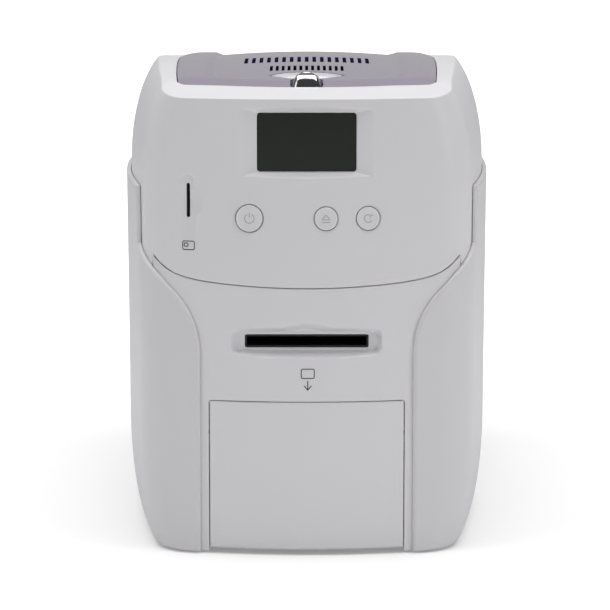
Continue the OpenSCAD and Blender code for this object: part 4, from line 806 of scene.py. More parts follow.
@dataclass
class UpperHousing:
    """Moulded upper housing: bowed front with the display frame, key holes and chip slot,
    rolled shoulders and the deck round the lid's opening."""

    lcd: tuple[float, float, float] = (48.6, 29.0, 205.2)
    frame_floor: float = -159.48
    frame_reach: float = 8.7
    frame_fall: float = 0.19
    bevel: tuple[float, float] = (3.1, 0.9)
    key_gap: float = 0.4
    chip: tuple[float, float] = (-58.0, 176.2)
    chip_slot: tuple[float, float] = (1.7, 17.0)
    chip_well: tuple[float, float, float] = (6.8, 31.8, 3.39)
    scoop_ball: float = 20.0
    scoop_rim: float = 8.0
    opening: LidPlan = field(default_factory=lambda: LidPlan(grow=0.4, rear=100.2))
    lap_z: float = 175.0
    rear_half: float = 66.0
    rear_z: float = 204.15
    side_start: float = 66.0
    straight_z: float = 184.0
    crown_z: float = 206.0
    crease_row: float = 228.0
    low_row: float = 133.65

    def grid(self) -> tuple[Array, Array]:
        """Columns by place across the front, then by stretch of the plan; rows by height."""
        across = cluster((0, 0), (3.2, 0.8), (16.2, 0.65), (20, 1.2), (37, 0.6), (49, 1.5),
                         (53.5, 0.9), (62.5, 0.55), (66, 1.1))
        left = cluster((0, 0), (20, 1.25), (37, 0.6), (49, 1.5), (50, 0.5), (66, 0.55))
        round_to_rear = cluster((66, 0), (67, 0.09), (68, 0.06), (69, 0.1), (69.02, 0.01),
                                (70, 0.08))[1:]
        right = np.concatenate([across, round_to_rear])
        other = np.concatenate([left, round_to_rear])
        columns = np.concatenate([-other[::-1], right[1:]])
        rows = np.concatenate([
            self.low_row + edge_lines(4.0)[:-1],
            cluster((137.65, 0), (158.6, 1.9), (177, 0.62), (186, 0.9), (192.6, 0.5), (218, 1.6),
                    (224.8, 0.45), (226.6, 0.45), (self.crease_row, 0.22))])
        deck = self.crease_row + np.array([0.02, 0.045, 0.075, 0.11, 0.16, 0.24, 0.34, 0.46, 0.58,
                                           0.7, 0.82, 0.9, 0.95, 0.98, 1.0]) * 10
        return columns, np.concatenate([rows, deck])

    def station(self, c: Array, z: Array, inset: Array) -> Array:
        """Plan parameter of a column at height z."""
        t = np.abs(c)
        start = FORM.front_s(np.minimum(t, self.side_start), z, inset)
        corner = start + (t - self.side_start) * (2 - start)
        later = t - self.side_start + 1
        return np.where(t <= self.side_start, start, np.where(t < 67, corner, later)) * signed(c)

    def skin(self, c: Array, r: Array, inset: float) -> tuple[Array, Array, Array]:
        """Base surface before its dishes: flank rows below the crease row, deck rows above."""
        depth = np.full(c.shape, inset)
        foot = np.full(c.shape, self.lap_z)
        low_x, _ = FORM.plan(self.station(c, foot, depth), foot, depth)
        low = LINES.upper_low(low_x)
        if inset < FORM.skin + 1:
            depth = depth + quarter_round(np.maximum(r - self.low_row, 0), 0.9)
        crease = np.full(c.shape, FORM.lip_top - FORM.lip_rise)
        for _ in range(12):
            x, y = FORM.plan(self.station(c, crease, depth), crease, depth)
            crease = self.top(x, y, inset)
        share = (r - self.low_row) / (self.straight_z - self.low_row)
        z = low + (self.straight_z - low) * share
        z = np.where(r > self.straight_z, r, z)
        top_share = (r - self.crown_z) / (self.crease_row - self.crown_z)
        z = np.where(r > self.crown_z, self.crown_z + (crease - self.crown_z) * top_share, z)
        z = np.minimum(z, crease)
        x, y = FORM.plan(self.station(c, z, depth), z, depth)
        t = np.abs(c)
        g = np.where(t <= 66, t / 66, t - 65)
        ox, oy = self.opening.outline(np.minimum(g, 5.0))
        share = np.clip((r - self.crease_row) / 10, 0, 1)
        x = x + share * (ox * signed(c) - x)
        y = y + share * (oy - y)
        z = np.where(r > self.crease_row, self.top(x, y, inset), z)
        return x, y, z

    def top(self, x: Array, y: Array, inset: float) -> Array:
        """Height of the lip or deck, set in: the lip climbs with the distance inside the bow
        until it meets the deck."""
        inward = FORM.front_r - FORM.skin - np.hypot(x, y - FORM.front - FORM.front_r)
        slope = FORM.lip_rise / (FORM.lip_d - FORM.skin)
        lip = FORM.lip_top - FORM.lip_rise + slope * inward
        return np.minimum(lip, FORM.deck_z(y)) - (inset - FORM.skin)

    def sink(self, x: Array, y: Array, z: Array) -> Array:
        """Front surface with the display frame, the scoop and the well of the chip slot.

        The frame has four bevels that meet on diagonals from the window's corners: flat
        cheeks at the sides, and above and below a straight run from the window to the front.
        """
        up = z - self.lcd[2]
        beside = np.maximum(np.abs(x) - self.lcd[0] / 2, 0)
        beyond = np.abs(up) - self.lcd[1] / 2
        high = self.bevel[0] - self.bevel[1] * (x / 30.0) ** 2
        start = beside * high / self.frame_reach
        cheek = self.frame_floor - self.frame_fall * beside
        share = np.clip((beyond - start) / np.maximum(high - start, 0.4), 0, 1.5)
        dish = np.where(cheek > y, cheek + (y - 0.15 - cheek) * share, cheek)
        near = (np.abs(x) < 40) & (np.abs(up) < 20)
        y = np.where(near, soft_max(y, dish, 0.25), y)
        lean = math.asin(self.chip[0] / (FORM.front_r - FORM.skin))
        across = (x - self.chip[0]) / math.cos(lean)
        above = z - self.chip[1]
        ball = (np.sqrt(np.maximum(self.scoop_ball**2 - across**2 - above**2, 0))
                - math.sqrt(self.scoop_ball**2 - self.scoop_rim**2))
        pill = box_distance(across, above + 2.5, *self.chip_well)
        well = 0.7 * np.clip(0.5 - pill / 0.8, 0, 1)
        depth = soft_max(np.maximum(ball, 0), well, 0.15) - 0.15 / 4
        near = (np.abs(across) < 9.5) & (np.abs(above) < 20)
        return y + np.where(near, np.maximum(depth, 0) / math.cos(lean), 0)

    def build(self) -> bpy.types.Object:
        """Makes the housing as one wall with its cut-outs."""
        columns, rows = self.grid()
        c, r = np.meshgrid(columns, rows)
        sheet = Sheet(c, r, wrap=True)

        def place(a: Array, b: Array) -> tuple[Array, Array]:
            """Place across and height of a grid point, far away on the deck."""
            x, _, z = self.skin(a, b, FORM.skin)
            return x, np.where(b > self.crease_row - 1, FAR, z)

        def front_cuts(a: Array, b: Array) -> Array:
            """Distance to the nearest of the window, the key holes and the chip slot."""
            x, z = place(a, b)
            holes = [box_distance(x, z - self.lcd[2], self.lcd[0], self.lcd[1], 1.5)]
            holes += [np.hypot(x - at, z - KEY_Z) - radius - self.key_gap
                      for at, radius in KEY_PLACES.values()]
            holes.append(box_distance(x - self.chip[0], z - self.chip[1], *self.chip_slot, 0.84))
            return np.where(np.abs(a) < self.side_start, np.min(holes, axis=0), FAR)

        def rear_cut(a: Array, b: Array) -> Array:
            """Distance to the rear panel's opening."""
            x, z = place(a, b)
            gap = np.maximum(np.abs(x) - self.rear_half, z - self.rear_z)
            return np.where(np.abs(a) > 68, gap, FAR)

        sheet.cut(front_cuts)
        sheet.cut(rear_cut)
        x, y, z = self.skin(sheet.a, sheet.b, FORM.skin)
        flank = (sheet.b < self.crease_row - 1.2) & (np.abs(sheet.a) < self.side_start)
        y = np.where(flank, self.sink(x, y, z), y)
        outer = np.stack([x, y, z], -1)
        inner = np.stack(self.skin(sheet.a, sheet.b, FORM.skin + FORM.wall), -1)
        behind = np.maximum(inner[..., 1], y + FORM.wall - 0.1)
        inner[..., 1] = np.where(flank, behind, inner[..., 1])
        first = int(np.searchsorted(sheet.b[:, 0], self.crease_row - 2.4))
        outer = eased(outer, first, first + 17, 5)
        outer = softened(outer, inner, sheet.rim_points(), 0.1)
        return sheet.build("upper_moulding", outer, inner)


def eased(skin: Array, first: int, last: int, passes: int) -> Array:
    """Rounds creases that run along the rows first to last: each pass averages neighbours."""
    skin = skin.copy()
    for _ in range(passes):
        band = skin[first:last]
        mean = (skin[first - 1:last - 1] + skin[first + 1:last + 1]) / 2
        skin[first:last] = band + 0.5 * (mean - band)
    return skin


def softened(outer: Array, inner: Array, rim: Array, share: float) -> Array:
    """Breaks the sharp rim of a wall: rim points move a share of the wall inwards."""
    return np.where(rim[..., None], outer + share * (inner - outer), outer)


@dataclass
class LowerPanel:
    """Lower front moulding with the dished card slot, its thumb scoop and the doorway."""

    slot: tuple[float, float] = (61.0, 6.6)
    floor: tuple[float, float] = (70.6, 9.0)
    floor_y: float = -156.92
    slope: float = 1.95
    door_half: float = 48.4
    door_top: float = 77.4
    straight_x: float = 50.0
    straight_z: float = 120.0
    lap_x: float = 57.0
    seam_row: float = 133.35

    def spread(self, c: Array, r: Array) -> tuple[Array, Array]:
        """Place (x, z) of a grid point: sides follow the covers, the top follows the seam."""
        z = r.copy()
        x = c.copy()
        t = np.abs(c)
        for _ in range(5):
            reach = LINES.cover_edge(z) + 4 - self.straight_x
            far = self.straight_x + (t - self.straight_x) * reach / (self.lap_x - self.straight_x)
            x = np.minimum(np.where(t > self.straight_x, far, t), LINES.lift[0] - 2.3) * signed(c)
            top = LINES.seam(x) - LINES.gap / 2
            share = (r - self.straight_z) / (self.seam_row - self.straight_z)
            z = np.where(r > self.straight_z, self.straight_z + (top - self.straight_z) * share, r)
        return x, z

    def scoop(self, x: Array, up: Array) -> Array:
        """Cone-like thumb scoop: y where (x/a)^2 + (z/b)^2 = 1, a and b growing outwards."""
        low, high = np.zeros(x.shape), np.full(x.shape, 1.4)
        for _ in range(14):
            u = (low + high) / 2
            inside = (x / (14.5 + 8 * u)) ** 2 + (up / (6.1 + 8.7 * u)) ** 2 < 1
            low, high = np.where(inside, low, u), np.where(inside, u, high)
        return -157.9 - 12.1 * (low + high) / 2

    def front(self, x: Array, z: Array, depth: Array) -> Array:
        """Front surface with its dish and scoop."""
        point = FORM.front_point(x, z, depth)
        up = z - CARD_SLOT_Z
        out = np.maximum(box_distance(x, up, *self.floor, 2.0), 0)
        dish = self.floor_y - self.slope * out
        y = point[..., 1]
        thumb = np.where((up > 0) & (np.abs(x) < 27), self.scoop(x, np.maximum(up, 0)), -FAR)
        hollow = soft_max(dish, np.minimum(thumb, self.floor_y), 0.3)
        near = (np.abs(x) < 48) & (np.abs(up) < 20)
        point[..., 1] = np.where(near, soft_max(y, hollow, 0.45), y)
        return point

    def build(self) -> bpy.types.Object:
        """Makes the panel."""
        half = cluster((0, 0), (24, 0.75), (30, 1.0), (43, 0.5), (47.2, 1.0), (48.4, 0.4),
                       (50, 0.4), (54, 0.8), (57, 0.5))
        columns = np.concatenate([-half[:0:-1], half])
        rows = np.concatenate([
            cluster((1.2, 0), (3, 0.45), (13, 1.6), (72, 4.5), (76.6, 0.9), (78.2, 0.4),
                    (94, 2.1), (121.5, 0.55), (129.35, 1.1)),
            self.seam_row - edge_lines(4.0)[:-1][::-1]])
        c, r = np.meshgrid(columns, rows)
        sheet = Sheet(c, r)

        def holes(a: Array, b: Array) -> Array:
            """Distance to the doorway or the card slot."""
            x, z = self.spread(a, b)
            door = box_distance(x, z, 2 * self.door_half, 2 * self.door_top, 1.5)
            return np.minimum(door, box_distance(x, z - CARD_SLOT_Z, *self.slot, 1.0))

        sheet.cut(holes)
        x, z = self.spread(sheet.a, sheet.b)
        depth = FORM.skin + quarter_round(self.seam_row - sheet.b, 0.9)
        outer = self.front(x, z, depth)
        inner = FORM.front_point(x, z, np.full(x.shape, FORM.skin + FORM.wall))
        inner[..., 1] = np.maximum(inner[..., 1], outer[..., 1] + FORM.wall - 0.2)
        outer = softened(outer, inner, sheet.rim_points(), 0.1)
        return sheet.build("lower_front_moulding", outer, inner)


@dataclass
class SideCover:
    """Proud side cover whose front edge sweeps out and up; its rim is rounded all along."""

    side: int = 1
    thick: float = 2.2
    edge_round: float = 1.9
    other_round: float = 0.9
    rear_half: float = 66.0

    def build(self) -> bpy.types.Object:
        """Makes the cover: rows by height, columns by distance along the plan from its edge."""
        rows = np.concatenate([
            FORM.sill_z + edge_lines(2.5)[:-1],
            cluster((3.7, 0), (14, 1.3), (98, 7.0), (150, 1.6), (FORM.cover_top - 4, 2.4)),
            FORM.cover_top - edge_lines(4.0)[:-1][::-1]])
        near = np.concatenate([[0, 0.05, 0.15, 0.3, 0.5, 0.75, 1.05, 1.4, 1.8, 2.3, 3.0],
                               cluster((3.0, 0), (10.0, 1.4))[1:]])
        spread = cluster((0, 0), (0.14, 0.01), (0.84, 0.035), (0.985, 0.01), (1.0, 0.005))
        tail = edge_lines(4.0)[::-1]
        low = LINES.cover_edge(rows)
        slope = np.gradient(low, rows)
        stretch = np.sqrt(1 + slope**2)[:, None]
        flat = np.zeros(rows.shape)
        size = FORM.lengths(rows, flat)
        ends = np.concatenate([np.zeros_like(size[:1]), np.cumsum(size, axis=0)])
        start = FORM.front_s(low, rows, flat)
        begin = np.where(start < 1, start * size[0], ends[1] + (start - 1) * size[1])[:, None]
        stop = FORM.back_s(self.rear_half, rows, flat)
        finish = np.where(stop < 4, ends[3] + (stop - 3) * size[3], ends[4] + (stop - 4) * size[4])
        finish = finish[:, None]
        first = near[None] * stretch
        middle = (begin + first[:, -1:]) + (finish - tail[0] - begin - first[:, -1:]) * spread[1:-1]
        along = np.concatenate([begin + first, middle, finish - tail[None]], axis=1)
        z = np.broadcast_to(rows[:, None], along.shape)
        distance = np.concatenate([
            np.broadcast_to(near[None], first.shape), np.full(middle.shape, FAR),
            np.broadcast_to(tail[None], (len(rows), len(tail)))], axis=1)
        front_side = np.arange(along.shape[1])[None] < len(near)
        round_edge = np.where(front_side, quarter_round(distance, self.edge_round),
                              quarter_round(distance, self.other_round))
        round_top = quarter_round(FORM.cover_top - z, self.other_round)
        round_low = quarter_round(z - FORM.sill_z, 0.6)
        depth = np.maximum.reduce([round_edge, round_top, round_low])
        zero = np.zeros(along.shape)
        s = FORM.walk(zero, along, z, zero)
        outer = np.stack([*FORM.plan(s, z, depth), z], -1)
        inner = np.stack([*FORM.plan(s, z, np.full(z.shape, self.thick)), z], -1)
        for skin in (outer, inner):
            skin[..., 0] *= self.side
        name = "right_cover_moulding" if self.side > 0 else "left_cover_moulding"
        return Sheet(along, z).build(name, outer, inner, 50.0)


@dataclass
class BinDoor:
    """Bowed door at the foot of the front with its two hinge ears."""

    half: float = 48.0
    low: float = 2.6
    top: float = 77.0
    edge: float = 0.8
    ear_x: float = 30.0
    ear_w: float = 5.0
    axis: tuple[float, float] = (-157.0, 8.4)

    def build(self) -> list[bpy.types.Object]:
        """Makes the door's wall and its ears."""
        rim = edge_lines(2.0)
        half = np.concatenate([cluster((0, 0), (self.half - rim[-1], 2.3)),
                               self.half - rim[:-1][::-1]])
        columns = np.concatenate([-half[:0:-1], half])
        rows = np.concatenate([self.low + rim[:-1],
                               cluster((self.low + rim[-1], 0), (self.top - rim[-1], 5.0)),
                               self.top - rim[:-1][::-1]])
        x, z = np.meshgrid(columns, rows)
        sheet = Sheet(x, z)
        middle = (self.low + self.top) / 2
        inset = -box_distance(x, z - middle, 2 * self.half, self.top - self.low, 0.01)
        depth = FORM.skin + quarter_round(np.maximum(inset, 0), self.edge)
        depth = depth + 1.2 * np.clip((self.low + 1.6 - z) / 1.6, 0, 1)
        outer = np.stack([x, FORM.bow(x, depth), z], -1)
        inner = np.stack([x, FORM.bow(x, FORM.skin + FORM.wall), z], -1)
        made = [sheet.build("bin_door_moulding", outer, inner, 50.0)]
        for sign in (-1, 1):
            profile = np.array([[0, 0], [2.3, 0], [2.6, 0.3], [2.6, self.ear_w - 0.3],
                                [2.3, self.ear_w], [0, self.ear_w]])
            start = self.ear_x if sign > 0 else -self.ear_x - self.ear_w
            made.append(turned_solid(f"door_ear_{'right' if sign > 0 else 'left'}", profile,
                                     np.array([start, *self.axis]), "x", 40))
        return made


@dataclass
class RearPanel:
    """Grained rear panel with fan slots, vent slots and openings for the ports."""

    half: float = 66.0
    top: float = 204.0
    lap_top: float = 174.7
    fan: tuple[float, float, float] = (-33.0, 120.0, 21.0)
    ports: tuple[tuple[float, float, float], ...] = (
        (-48.0, 13.5, 20.5), (-26.0, 12.0, 11.0), (-6.0, 16.0, 13.5), (20.0, 10.0, 11.0))
    port_z: float = 21.5

    def distance(self, x: Array, z: Array) -> Array:
        """Distance to the nearest opening of the panel."""
        fx, fz, reach = self.fan
        holes = []
        for k in range(-3, 4):
            wide = 2 * math.sqrt(reach**2 - (6 * k) ** 2) + 2.6
            holes.append(box_distance(x - fx, z - fz - 6 * k, wide, 2.6, 1.29))
        for k in range(9):
            holes.append(box_distance(x - 10 - 4.5 * k, z - fz, 2.2, 24.2, 1.09))
        for x0, wide, high in self.ports:
            holes.append(box_distance(x - x0 - wide / 2, z - self.port_z - (high + 0.5) / 2,
                                      wide + 0.8, high + 1.3, 0.4))
        above = np.minimum(np.abs(x) - self.half, z - self.lap_top)
        holes.append(-above)
        return np.min(holes, axis=0)

    def build(self) -> bpy.types.Object:
        """Makes the panel over a grid of places across and heights."""
        fx, fz, reach = self.fan
        slots = [fz + 6 * k + d for k in range(-3, 4) for d in (-1.3, -0.65, 0, 0.65, 1.3, 3.0)]
        ends = [fz - 12.1, fz + 12.1, fz - 11.4, fz + 11.4]
        ports = [self.port_z + d for _, _, h in self.ports for d in (-0.4, h + 0.9)]
        rows = np.unique(np.round(np.concatenate([
            FORM.sill_z + edge_lines(2.0), cluster((3.2, 0), (14, 1.8), (202, 8.0)), slots, ends,
            ports, [self.lap_top, 186.0, 195.0], self.top - edge_lines(2.0)]), 2))
        bars = [10 + 4.5 * k + d for k in range(9) for d in (-1.1, -0.5, 0.5, 1.1, 2.25)]
        sides = [x0 + d for x0, w, _ in self.ports for d in (-0.4, w + 0.4)]
        columns = np.unique(np.round(np.concatenate([
            cluster((-72, 0), (-66, 1.5), (-58, 2), (-10, 1.0), (8, 2.0)), bars,
            cluster((49, 0), (66, 2.4), (72, 1.5)), sides]), 2))
        rows = rows[np.concatenate([[True], np.diff(rows) > 0.025])]
        columns = columns[np.concatenate([[True], np.diff(columns) > 0.12])]
        x, z = np.meshgrid(columns, rows)
        sheet = Sheet(x, z)
        sheet.cut(self.distance)
        skins = []
        for inset in (FORM.skin, FORM.skin + FORM.wall):
            depth = np.full(sheet.a.shape, inset)
            px, py = FORM.plan(FORM.back_s(np.abs(sheet.a), sheet.b, depth), sheet.b, depth)
            skins.append(np.stack([px * signed(sheet.a), py, sheet.b], -1))
        outer = softened(skins[0], skins[1], sheet.rim_points(), 0.1)
        return sheet.build("rear_moulding", outer, skins[1])


@dataclass
class TopLid:
    """Hinged lid: a plate whose arched middle zone lies between raised side strips, with two
    rows of vent slots, a lens-shaped grip opening and a notch for the release button, on a
    thin skirt."""

    proud: float = 2.0
    arch: float = 2.1
    strip: float = 1.6
    side_fall: float = 1.5
    thick: float = 2.2
    slope: float = 11.5
    slope_drop: float = 2.9
    edge: float = 0.9
    near_y: float = -118.0
    far_y: float = 84.0
    plain_x: float = 40.0
    half: float = 67.0
    skirt_low: float = 224.2
    skirt_play: float = 0.12
    skirt_inner: float = 2.2
    first_row: float = -149.5
    last_row: float = 94.1
    grip: tuple[float, float, float] = (-126.0, 19.4, 18.8)
    zone: tuple[float, float] = (46.0, -130.0)
    rows: tuple[tuple[int, float, float, float, float], ...] = (
        (17, 3.9, 29.0, -64.0, 1.9), (13, 2.97, 18.0, -103.0, 1.5))
    plan: LidPlan = field(default_factory=LidPlan)

    def border(self, g: Array) -> tuple[Array, Array]:
        """Outline at g, which runs 0 to 5 on one side."""
        return self.plan.outline(np.clip(g, 0, 4.999))

    def side_at(self, y: Array) -> Array:
        """Outline parameter of the long side at y."""
        low = float(self.border(np.array([2.0]))[1][0])
        high = float(self.border(np.array([2.999]))[1][0])
        return 2 + (y - low) / (high - low)

    def place(self, c: Array, r: Array) -> tuple[Array, Array]:
        """Place of a grid point: straight rows in the middle, and at both ends rows that turn
        into the outline, with the sides following the outline too."""
        t = np.abs(c)
        share = np.clip((t - self.plain_x) / (self.half - self.plain_x), 0, 1)
        x_mid = np.minimum(t, self.plain_x)
        y_mid = np.clip(r, self.near_y, self.far_y)
        x = x_mid + share * (self.plan.side(y_mid) - self.plain_x)
        y = y_mid.copy()
        for level, end, g_end, sign in ((self.near_y, self.first_row, 1.5, -1.0),
                                        (self.far_y, self.last_row, 3.5, 1.0)):
            v = np.clip((r - level) / (end - level), 0, 1)
            g_side = self.side_at(np.array(level))
            sx, sy = self.border(g_side + v * (g_end - g_side))
            reach = self.border(np.array([1.0 if sign < 0 else 4.0]))[0][0]
            g_front = np.where(t <= self.plain_x, t / reach,
                               self.plain_x / reach + share * (1.5 - self.plain_x / reach))
            fx, fy = self.border(g_front if sign < 0 else 5 - g_front)
            if sign > 0:
                fx = np.where(t <= self.plain_x, t, fx)
            bx = x_mid + share * (self.plan.side(np.array(level)) - self.plain_x)
            corner_x, corner_y = self.border(np.array([g_end]))
            side_x = self.plan.side(np.array(level))
            px = bx + v * (fx - bx) + share * (sx - (side_x + v * (corner_x[0] - side_x)))
            py = level + v * (fy - level) + share * (sy - (level + v * (corner_y[0] - level)))
            x = np.where(v > 0, px, x)
            y = np.where(v > 0, py, y)
        return x * signed(c), y

    def height(self, x: Array, y: Array) -> Array:
        """Top surface over the deck's own curve: the middle zone arches as a square of the
        place across, a smooth step round it climbs to the side strips and the front band, and
        the front band slopes down to the lip."""
        t = np.minimum(np.abs(x) / self.half, 1.1)
        arched = self.proud - self.arch * (x / 48.0) ** 2
        strips = self.strip - self.side_fall * np.clip((t - 0.86) / 0.14, 0, 1.2) ** 2
        wide, start = self.zone
        outside = box_distance(x, y - start - 150, 2 * wide, 300, 12.0)
        share = np.clip(outside / 5.0, 0, 1)
        share = share * share * (3 - 2 * share)
        front = np.clip(1 - (y - self.plan.front_y(x)) / self.slope, 0, 1)
        band = np.minimum(self.proud - 0.4 * t**2, strips + 2.0 * front)
        crown = arched + share * (band - arched)
        return FORM.deck_z(y) + crown - self.slope_drop * front**1.2

    def openings(self, x: Array, y: Array) -> Array:
        """Distance to the nearest of the grip, the button's notch and the vent slots."""
        gy, half, length = self.grip
        radius = (half**2 + length**2 / 4) / length
        shift = radius - length / 2
        lens = np.maximum(*[np.hypot(x, y - gy + s * shift) - radius for s in (-1, 1)])
        wide, deep = BUTTON_SIZE
        well = box_distance(x, y - BUTTON_Y, wide + 0.8, deep + 0.8, 2.9)
        notch = np.maximum(np.abs(x) - wide / 2, y - BUTTON_Y)
        holes = [lens, well, notch]
        for count, pitch, long, centre, width in self.rows:
            k = np.clip(np.round(x / pitch), -(count - 1) / 2, (count - 1) / 2)
            holes.append(box_distance(x - pitch * k, y - centre, width, long, width / 2 - 0.01))
        return np.min(holes, axis=0)

    def build(self) -> list[bpy.types.Object]:
        """Makes the plate and its skirt."""
        half = np.concatenate([cluster((0, 0), (33, 0.44), (40, 1.4), (47.5, 1.5), (53, 0.55),
                                       (63, 2.0)), self.half - edge_lines(4.0)[:-1][::-1]])
        columns = np.concatenate([-half[:0:-1], half])
        rows = np.concatenate([
            self.first_row + edge_lines(3.0)[:-1],
            cluster((-146.5, 0), (-93, 0.5), (-81, 0.9), (-47, 0.6), (90.1, 6.0)),
            self.last_row - edge_lines(4.0)[:-1][::-1]])
        c, r = np.meshgrid(columns, rows)
        sheet = Sheet(c, r)
        sheet.cut(lambda a, b: self.openings(*self.place(a, b)))
        x, y = self.place(sheet.a, sheet.b)
        t = np.abs(sheet.a)
        rim = np.minimum.reduce([self.half - t, sheet.b - self.first_row, self.last_row - sheet.b])
        z = self.height(x, y)
        outer = np.stack([x, y, z - quarter_round(np.maximum(rim, 0), self.edge)], -1)
        inner = np.stack([x, y, z - self.thick], -1)
        outer = softened(outer, inner, sheet.rim_points() & (rim > 0.5), 0.08)
        return [sheet.build("lid_plate", outer, inner), self.skirt()]

    def paint_slot_shade(self, plate: bpy.types.Object) -> None:
        """Colours the walls of the vent slots with painted shade: dark violet in the rear row and
        black in the front row stand in for the shadow inside the slots.
        """
        faces = plate.data.polygons
        centre, normal = np.empty(len(faces) * 3), np.empty(len(faces) * 3)
        faces.foreach_get("center", centre)
        faces.foreach_get("normal", normal)
        x, y = centre.reshape(-1, 3).T[:2] / MM
        wall = (np.abs(normal.reshape(-1, 3)[:, 2]) < 0.6) & (np.abs(x) < 36)
        index = np.zeros(len(faces), np.int32)
        # Each row's wall faces take a darker colour as painted shade for the slot's depth.
        for slot, (finish, row) in enumerate(zip((VIOLET_SLOT_SHADE, BLACK), self.rows), 1):
            plate.data.materials.append(finish.material())
            index[wall & (np.abs(y - row[3]) < row[2] / 2 + 1)] = slot
        faces.foreach_set("material_index", index)

    def skirt(self) -> bpy.types.Object:
        """Makes the skirt under the plate's edge, open where the button's notch is."""
        g = cluster((0, 0), (1, 0.025), (2, 0.08), (3, 0.05), (4, 0.1), (4.99, 0.15))
        columns = np.concatenate([-g[::-1], g[1:]])
        c, r = np.meshgrid(columns, np.array([0.0, 0.5, 1.0]))
        sheet = Sheet(c, r, wrap=True)

        def ring(a: Array, grow: float) -> tuple[Array, Array]:
            """Outline of the skirt's outer or inner face."""
            plan = LidPlan(grow=grow, rear=self.plan.rear + grow)
            x, y = plan.outline(np.clip(np.abs(a), 0, 4.999))
            return x * signed(a), y

        def notch(a: Array, b: Array) -> Array:
            """Distance to the notch."""
            x, y = ring(a, -self.skirt_play)
            return np.where(y < 0, np.abs(x) - BUTTON_SIZE[0] / 2, FAR)

        sheet.cut(notch)
        skins = []
        for grow in (-self.skirt_play, -self.skirt_inner):
            x, y = ring(sheet.a, grow)
            top = self.height(x, y) - 1.3
            low = np.where(y > 80, top - 1.6, np.minimum(self.skirt_low, top - 1.6))
            skins.append(np.stack([x, y, low + (top - low) * sheet.b], -1))
        return sheet.build("lid_skirt", skins[0], skins[1])


@dataclass
class GripDish:
    """White dish in the lid's grip opening: a lens in plan whose rim lies just under the lid's
    surface, hollowed like a bowl and open round the release button."""

    lid: TopLid = field(default_factory=TopLid)
    play: float = 0.4
    under: float = 0.35
    depth: float = 4.5
    bowl: float = 6.5
    thick: float = 1.0

    def build(self) -> bpy.types.Object:
        """Makes the dish over (across, from the front arc to the rear one)."""
        centre, half, length = self.lid.grip
        half, length = half - self.play, length - 2 * self.play
        radius = (half**2 + length**2 / 4) / length
        reach = half - 1.8
        across = cluster((-reach, 0), (-9, 0.7), (9, 0.5), (reach, 0.7))
        along = cluster((-1, 0), (-0.8, 0.02), (0.7, 0.08), (1, 0.015))
        x, v = np.meshgrid(across, along)
        sheet = Sheet(x, v)

        def plan(a: Array, b: Array) -> Array:
            """Place in depth of a grid point."""
            return centre + b * (np.sqrt(radius**2 - a**2) - radius + length / 2)

        sheet.cut(lambda a, b: box_distance(a, plan(a, b) - BUTTON_Y, BUTTON_SIZE[0] + 1,
                                            BUTTON_SIZE[1] + 1, 3.0))
        x = sheet.a
        y = plan(x, sheet.b)
        inward = np.min([radius - np.hypot(x, y - centre + s * (radius - length / 2))
                         for s in (-1, 1)], axis=0)
        fall = 1 - np.clip(inward / self.bowl, 0, 1)
        z = self.lid.height(x, y) - self.under - self.depth * np.sqrt(1 - fall**2)
        outer = np.stack([x, y, z], -1)
        inner = np.stack([x, y, z - self.thick], -1)
        return sheet.build("grip_dish", outer, inner)


@dataclass
class ReleaseButton:
    """Bright release button: a skirt whose plan is a rounded rectangle, drawn in to a dome."""

    low: float = 219.2
    waist: float = 230.0
    rim: float = 236.4
    top: float = 238.0
    lean: float = 1.1
    power: float = 0.58
    count: int = 96

    def build(self) -> bpy.types.Object:
        """Makes the button as rings (inset, shift, height) closed in the middle of the dome."""
        up = np.linspace(0, 1, 22)
        dome = np.linspace(0, math.pi / 2, 18)
        side_in = 1.9 * up + 0.8 * up**4
        drawn = side_in[-1] + 2.4 * np.sin(dome) ** 1.1
        rings = np.concatenate([
            [[0.0, 0, self.low], [0.0, 0, self.waist]],
            np.stack([side_in, self.lean * up, self.rim - 6.0 * (1 - up)], -1)[1:],
            np.stack([drawn, 0 * dome + self.lean, self.rim + 1.3 * np.sin(dome)], -1)[1:]])
        angle = np.arange(self.count) * 2 * math.pi / self.count
        inset, shift, height = rings.T[:, :, None]
        cos, sin = np.cos(angle)[None], np.sin(angle)[None]
        x = (BUTTON_SIZE[0] / 2 - inset) * np.sign(cos) * np.abs(cos) ** self.power
        y = (BUTTON_SIZE[1] / 2 - inset) * np.sign(sin) * np.abs(sin) ** self.power
        y = y + BUTTON_Y + shift
        z = np.broadcast_to(height, x.shape)
        close = np.array([0.66, 0.33, 0.0])[:, None]
        crown = np.array([self.top - 0.15, self.top - 0.03, self.top])[:, None]
        mid_y = BUTTON_Y + self.lean
        foot = np.ones((1, self.count))
        x = np.concatenate([0 * foot, x, close * x[-1:]])
        y = np.concatenate([BUTTON_Y * foot, y, mid_y + close * (y[-1:] - mid_y)])
        z = np.concatenate([self.low * foot, z, crown * foot])
        points = np.stack([x, y, z], -1)
        return mesh_object("release_cap", points.reshape(-1, 3), ring_faces(len(points), self.count))


